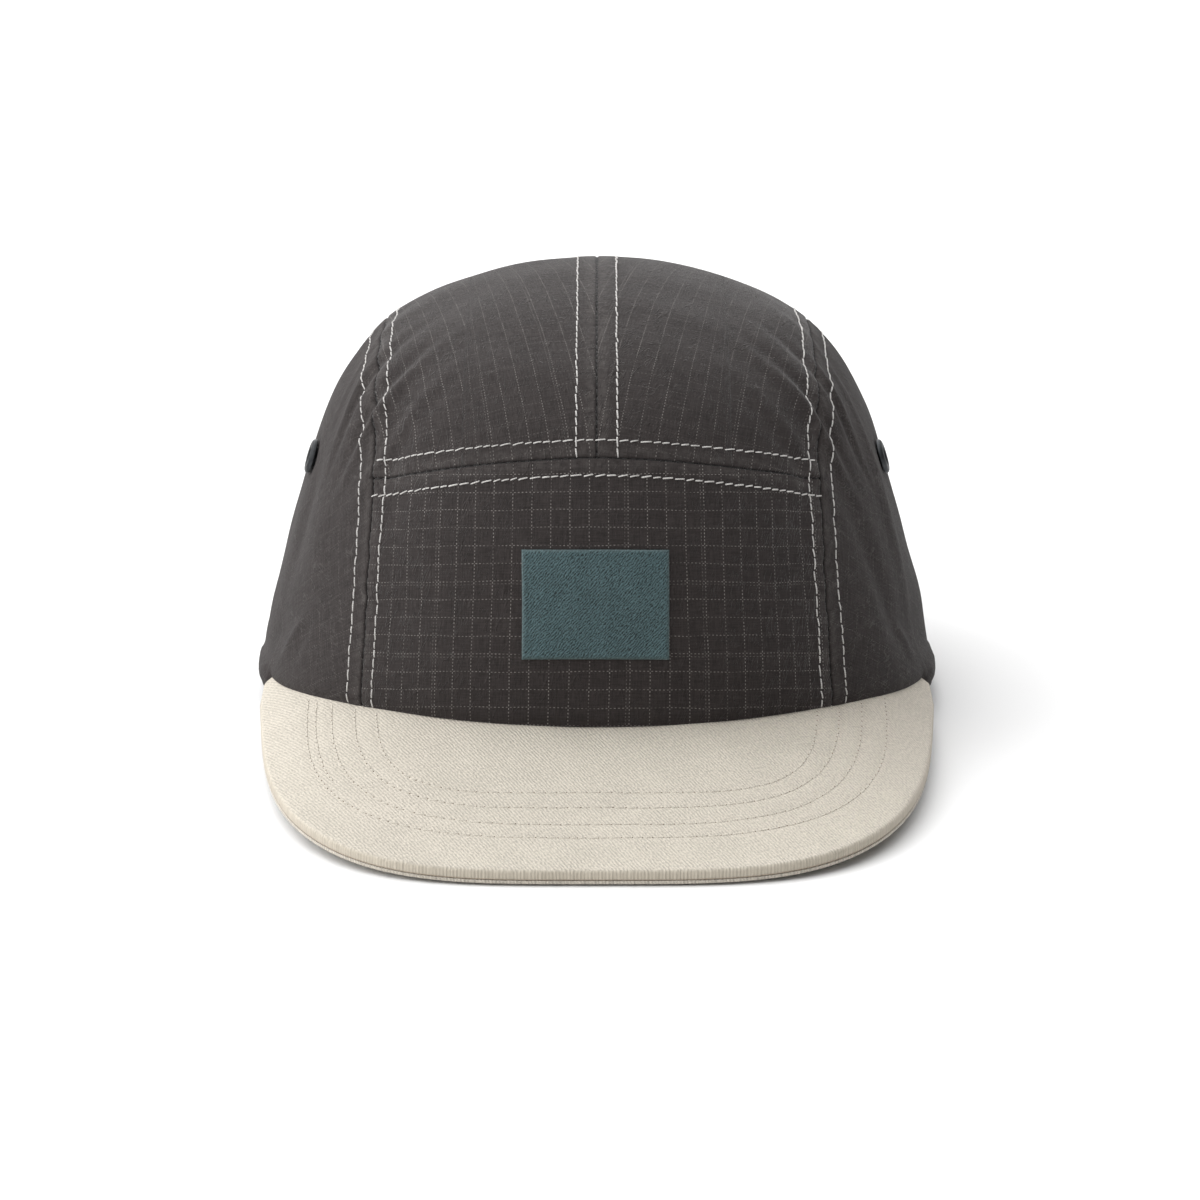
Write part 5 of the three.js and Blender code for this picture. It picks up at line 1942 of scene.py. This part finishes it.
@dataclass
class Sweatband:
    """The plain band inside the lower edge."""

    cloth: Cloth
    shop: Shop
    finish: Finishes
    height: float = 28.0
    wall: float = 1.0
    room: float = 0.5
    end: float = 45.3
    foot: float = 5.0
    lowest: float = 1.5
    run_radius: float = 85.0
    seam_height: float = 3.0
    pucker: float = 0.18
    dent: float = 0.3
    columns: int = 420
    rows: int = 26

    def build(self) -> None:
        """Builds the band."""
        crown = self.cloth.crown
        last = math.pi - math.atan2(self.end, float(crown.depth_at(self.end, 0.0, False)))
        angle = np.linspace(-last, last, self.columns)
        foot = crown.settle(lambda z: crown.around(angle, z), np.zeros(angle.shape))
        ahead = foot[:, 1] < -crown.peak.sizes.horn_place
        low = np.where(ahead, foot[:, 2] - crown.peak.sizes.thick, np.maximum(foot[:, 2], self.lowest))
        rows = []
        for t in np.linspace(0, 1, self.rows):
            above = foot[:, 2] + self.height * t
            points = crown.around(angle, above)
            if t * self.height < self.foot:
                share = t * self.height / self.foot
                level = low + (foot[:, 2] + self.foot - low) * share
                points = np.column_stack([foot[:, :2] * (1 - share) + points[:, :2] * share, level])
            rows.append(points)
        grid = np.stack(rows)
        flat = grid.reshape(-1, 3)
        normal = crown.normal(flat)
        depth = crown.sizes.wall + self.room - self.cloth.folds(flat)
        up = np.repeat(np.linspace(0, self.height, self.rows), len(angle))
        run = np.tile(angle, self.rows) * self.run_radius
        wave = np.sin(run * 0.55 + 0.8 * np.sin(run * 0.13))
        pucker = self.pucker * wave * bump(up - self.seam_height, 5)
        stitched = self.dent * bump(up - self.seam_height, 0.9)
        outer = flat - depth[:, None] * normal
        inner = flat - (depth + self.wall + pucker - stitched)[:, None] * normal
        for face in (outer, inner):
            face[:, 2] = np.maximum(face[:, 2], 0.0)
        uv = np.stack([run, up], -1).reshape(self.rows, -1, 2)
        parts = shell(outer.reshape(grid.shape), inner.reshape(grid.shape), uv)
        dress(self.shop.make("sweatband_cloth", parts), self.finish.band, ["sweatband"])


@dataclass
class Closure:
    """The strap, its tab and the slider at the back."""

    crown: Crown
    shop: Shop
    finish: Finishes
    width: float = 19.0
    thick: float = 1.2
    low: float = 4.0
    reach: float = 45.0
    buckle_width: float = 30.0
    buckle_bar: float = 3.0
    buckle_thick: float = 1.8
    gap: float = 0.3

    def _beside(self, x: float, depth: float) -> tuple[float, float]:
        """A point inside the crown's back, in plan."""
        levels = np.array([self.low, self.low + self.width])
        y = float(self.crown.depth_at(np.full(2, x), levels, False).min())
        out = self.crown.normal(np.array([x, y, self.low + self.width / 2]))[:2]
        out = out / np.linalg.norm(out)
        return x - depth * out[0], y - depth * out[1]

    def paths(self) -> dict[str, Array]:
        """The strap's and the tab's ways in plan."""
        step = self.thick + self.gap
        bar_step = self.buckle_thick / 2 + self.gap + self.thick / 2
        bar = self.buckle_width / 2 - self.buckle_bar / 2
        window = bar / 2
        panel = self.crown.sizes.wall + 2 * self.gap + self.thick / 2
        middle = np.array([self.low + self.width / 2])
        face = float(self.crown.depth_at(np.zeros(1), middle, False)[0])
        edge = bar - self.buckle_bar / 2
        under, over = face - bar_step, face + bar_step
        free, depth = bar + 2 * self.buckle_bar, self.thick / 4
        bend = 0.78 * self.crown.sizes.arch_half
        tab_room = step + self.gap
        half, gap = self.buckle_bar / 2, self.gap
        loop = edge - gap - self.thick / 2
        strap = [
            self._beside(-self.reach, panel),
            self._beside(-bend, panel),
            self._beside(-free, depth),
            (-bar - half, under),
            (-edge + gap, under),
            (-window, face),
            (-half - gap, over),
            (half + gap, over),
            (0.8 * window, face),
            (1.25 * window, under - 0.9 * tab_room),
            (bar, under - tab_room),
            self._beside(free, depth + tab_room),
            self._beside(bend, panel + tab_room),
        ]
        tab = [
            self._beside(self.reach, panel),
            self._beside(bend, panel),
            self._beside(free, depth),
            (bar + half, under),
            (edge + gap, under),
            (loop - 2 * gap, face),
            (edge + gap, over),
            (bar + half + gap, over),
            self._beside(free, depth - step - gap),
            self._beside(free + self.buckle_bar, depth - step),
        ]
        return {"strap": through(strap, 14), "strap_tab": through(tab, 14)}

    def ribbon(self, path: Array) -> MeshParts:
        """A flat strap along a way, with thicker woven edges."""
        tangent = unit(np.gradient(path, axis=0))
        aside = np.stack([-tangent[:, 1], tangent[:, 0]], 1)
        half = self.thick / 2
        shape = []
        for sign in (1, -1):
            for t in np.linspace(-1, 1, 21) * sign:
                near = (1 - abs(t)) * self.width / 2
                full = half * (0.86 + 0.14 * math.exp(-(((near - 0.9) / 0.6) ** 2)))
                full *= math.sqrt(max(0.0, min(1.0, near / 0.35 + 0.25)))
                shape.append((sign * full, t * self.width / 2))
        shape = np.array(shape)
        middle = self.low + self.width / 2
        rings = np.empty((len(path), len(shape), 3))
        rings[..., :2] = path[:, None, :] + aside[:, None, :] * shape[None, :, :1]
        rings[..., 2] = middle + shape[None, :, 1]
        run = run_along(path)
        along = np.broadcast_to(run[:, None], rings.shape[:2])
        uv = np.stack([along, np.broadcast_to(shape[None, :, 1], rings.shape[:2])], -1)
        return sweep(rings, uv)

    def build(self) -> None:
        """Builds the strap and the tab, and finishes the slider."""
        for name, path in self.paths().items():
            even = even_points(path, int(Line(np.column_stack([path, 0 * path[:, 0]])).length / 0.6))
            made = self.shop.make(f"{name}_webbing", self.ribbon(even), 50)
            dress(made, self.finish.webbing, [name])
        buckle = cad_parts["buckle"]
        soften = buckle.modifiers.new("edges", "BEVEL")
        soften.width, soften.segments, soften.limit_method = 0.35 * MM, 3, "ANGLE"
        buckle.data.materials.clear()
        buckle.data.materials.append(self.finish.metal)


@dataclass
class Eyelets:
    """The two pressed rings in the side panels."""

    cloth: Cloth
    shop: Shop
    finish: Finishes
    outer: float = 9.0
    barrel: float = 5.4
    hole: float = 3.8
    proud: float = 1.1
    seat: float = 0.3
    depth: float = 1.75
    sides: int = 48

    def build(self) -> None:
        """Builds both rings."""
        crown = self.cloth.crown
        hole, barrel, flange = self.hole / 2, self.barrel / 2, self.outer / 2
        across = (flange - hole) / 2
        arc = np.linspace(0, np.pi, 13)
        arch = [self.seat + self.proud * math.sin(a) ** 0.8 for a in arc]
        head = [(hole + across + across * math.cos(a), z) for a, z in zip(arc, arch)]
        foot = [(hole, -1.2), (hole + 0.2, -self.depth), (barrel, -self.depth)]
        profile = np.array([(barrel, 0.25), (flange - 0.25, 0.12), *head, *foot])
        turn = np.arange(self.sides) * 2 * np.pi / self.sides
        for seat, word in zip(self.cloth.eyelet_seats(), ("left", "right")):
            out = crown.normal(seat)
            middle = seat + float(self.cloth.folds(seat[None])[0]) * out
            first = unit(np.cross(out, [0, 0, 1]))
            second = np.cross(out, first)
            ring = np.cos(turn)[:, None] * first + np.sin(turn)[:, None] * second
            rings = middle + profile[None, :, :1] * ring[:, None, :] + profile[None, :, 1:] * out
            count, sides = rings.shape[:2]
            number = np.arange(count * sides).reshape(count, sides)
            onward, following = np.roll(number, -1, axis=0), np.roll(number, -1, axis=1)
            onward_following = np.roll(onward, -1, axis=1)
            faces = np.stack([number, onward, onward_following, following], -1).reshape(-1, 4)
            parts = MeshParts(rings.reshape(-1, 3), faces.tolist(), np.zeros((count * sides, 2)))
            made = self.shop.make(f"eyelet_{word}_ring", parts, 45)
            bpy.context.view_layer.update()
            dress(made, self.finish.metal, [f"eyelet_{word}"])


# The studio


class Lamp(NamedTuple):
    """A broad soft light: where it shines from, its power and how wide it looks, in degrees."""

    name: str
    way: tuple[float, float, float]
    power: float
    soft: float


LAMPS = (
    Lamp("left", (-0.87, 0.0, 0.5), 1.40, 60),
    Lamp("left_over", (-0.6, 0.0, 0.8), 0.75, 90),
    Lamp("left_behind", (-0.5, 0.55, 0.67), 0.63, 90),
    Lamp("left_front", (-0.5, -0.5, 0.7), 1.05, 90),
    Lamp("behind", (0.0, 0.6, 0.8), 2.35, 90),
    Lamp("right", (0.7, 0.0, 0.7), 0.05, 90),
)


@dataclass(frozen=True)
class Studio:
    """Camera, floor and light."""

    lens: float = 141.5
    distance: float = 1200.0
    elevation: float = 15.0
    target: tuple[float, float, float] = (0.76, -20.0, 26.9)
    sky: float = 0.2
    floor_half: float = 8.0

    def camera(self, shift: Array) -> None:
        """Places the camera as in the photograph."""
        data = bpy.data.cameras.new("camera")
        data.lens, data.sensor_width = self.lens, 36.0
        camera = bpy.data.objects.new("camera", data)
        bpy.context.scene.collection.objects.link(camera)
        up = math.radians(self.elevation)
        away = Vector((0, -math.cos(up), math.sin(up)))
        aim = Vector((np.array(self.target) + shift) * MM)
        camera.location = aim + away * self.distance * MM
        camera.rotation_mode = "QUATERNION"
        camera.rotation_quaternion = (-away).to_track_quat("-Z", "Y")
        data.clip_start, data.clip_end = 0.01, 100.0
        bpy.context.scene.camera = camera

    def light(self) -> None:
        """Adds the broad soft lights and the sky."""
        for lamp in LAMPS:
            data = bpy.data.lights.new(lamp.name, "SUN")
            data.energy, data.angle = lamp.power, math.radians(lamp.soft)
            made = bpy.data.objects.new(lamp.name, data)
            bpy.context.scene.collection.objects.link(made)
            made.rotation_mode = "QUATERNION"
            made.rotation_quaternion = Vector(lamp.way).to_track_quat("Z", "Y")
        world = bpy.data.worlds.new("studio")
        world.use_nodes = True
        background = world.node_tree.nodes["Background"]
        background.inputs["Color"].default_value = (1.0, 1.0, 1.0, 1.0)
        background.inputs["Strength"].default_value = self.sky
        bpy.context.scene.world = world
        bpy.context.scene.view_settings.view_transform = "Standard"

    def floor(self, material: bpy.types.Material) -> None:
        """Adds the pale floor under the cap."""
        half = self.floor_half
        mesh = bpy.data.meshes.new("floor")
        corners = [(-half, -half, 0), (half, -half, 0), (half, half, 0), (-half, half, 0)]
        mesh.from_pydata(corners, [], [(0, 1, 2, 3)])
        mesh.materials.append(material)
        made = bpy.data.objects.new("floor", mesh)
        bpy.context.scene.collection.objects.link(made)


def frame_shift(peak: Peak) -> Array:
    """The way from the crown's middle to the frame, read from the tip of the peak.

    Args:
        peak: the peak, whose tip is known in both.

    Returns:
        Millimetres along x, y and z.
    """
    lowest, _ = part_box("peak_top")
    return np.array([0.0, lowest.y / MM + peak.tip, 0.0])


def main() -> None:
    """Builds the cap and its studio."""
    logging.basicConfig(level=logging.INFO, format="%(message)s")
    sizes = CrownSizes()
    peak = Peak(sizes, PeakSizes())
    crown = Crown(sizes, peak)
    cloth = Cloth(crown)
    shift = frame_shift(peak)
    shop = Shop(shift)
    finish = Finishes.made()
    Panels(cloth, shop, finish).build()
    PeakSkins(crown, shop, finish).build()
    Patch(cloth, shop, finish).build()
    Sweatband(cloth, shop, finish).build()
    Closure(crown, shop, finish).build()
    Eyelets(cloth, shop, finish).build()
    studio = Studio()
    studio.floor(finish.floor)
    studio.light()
    studio.camera(shift)


if __name__ == "__main__":
    main()
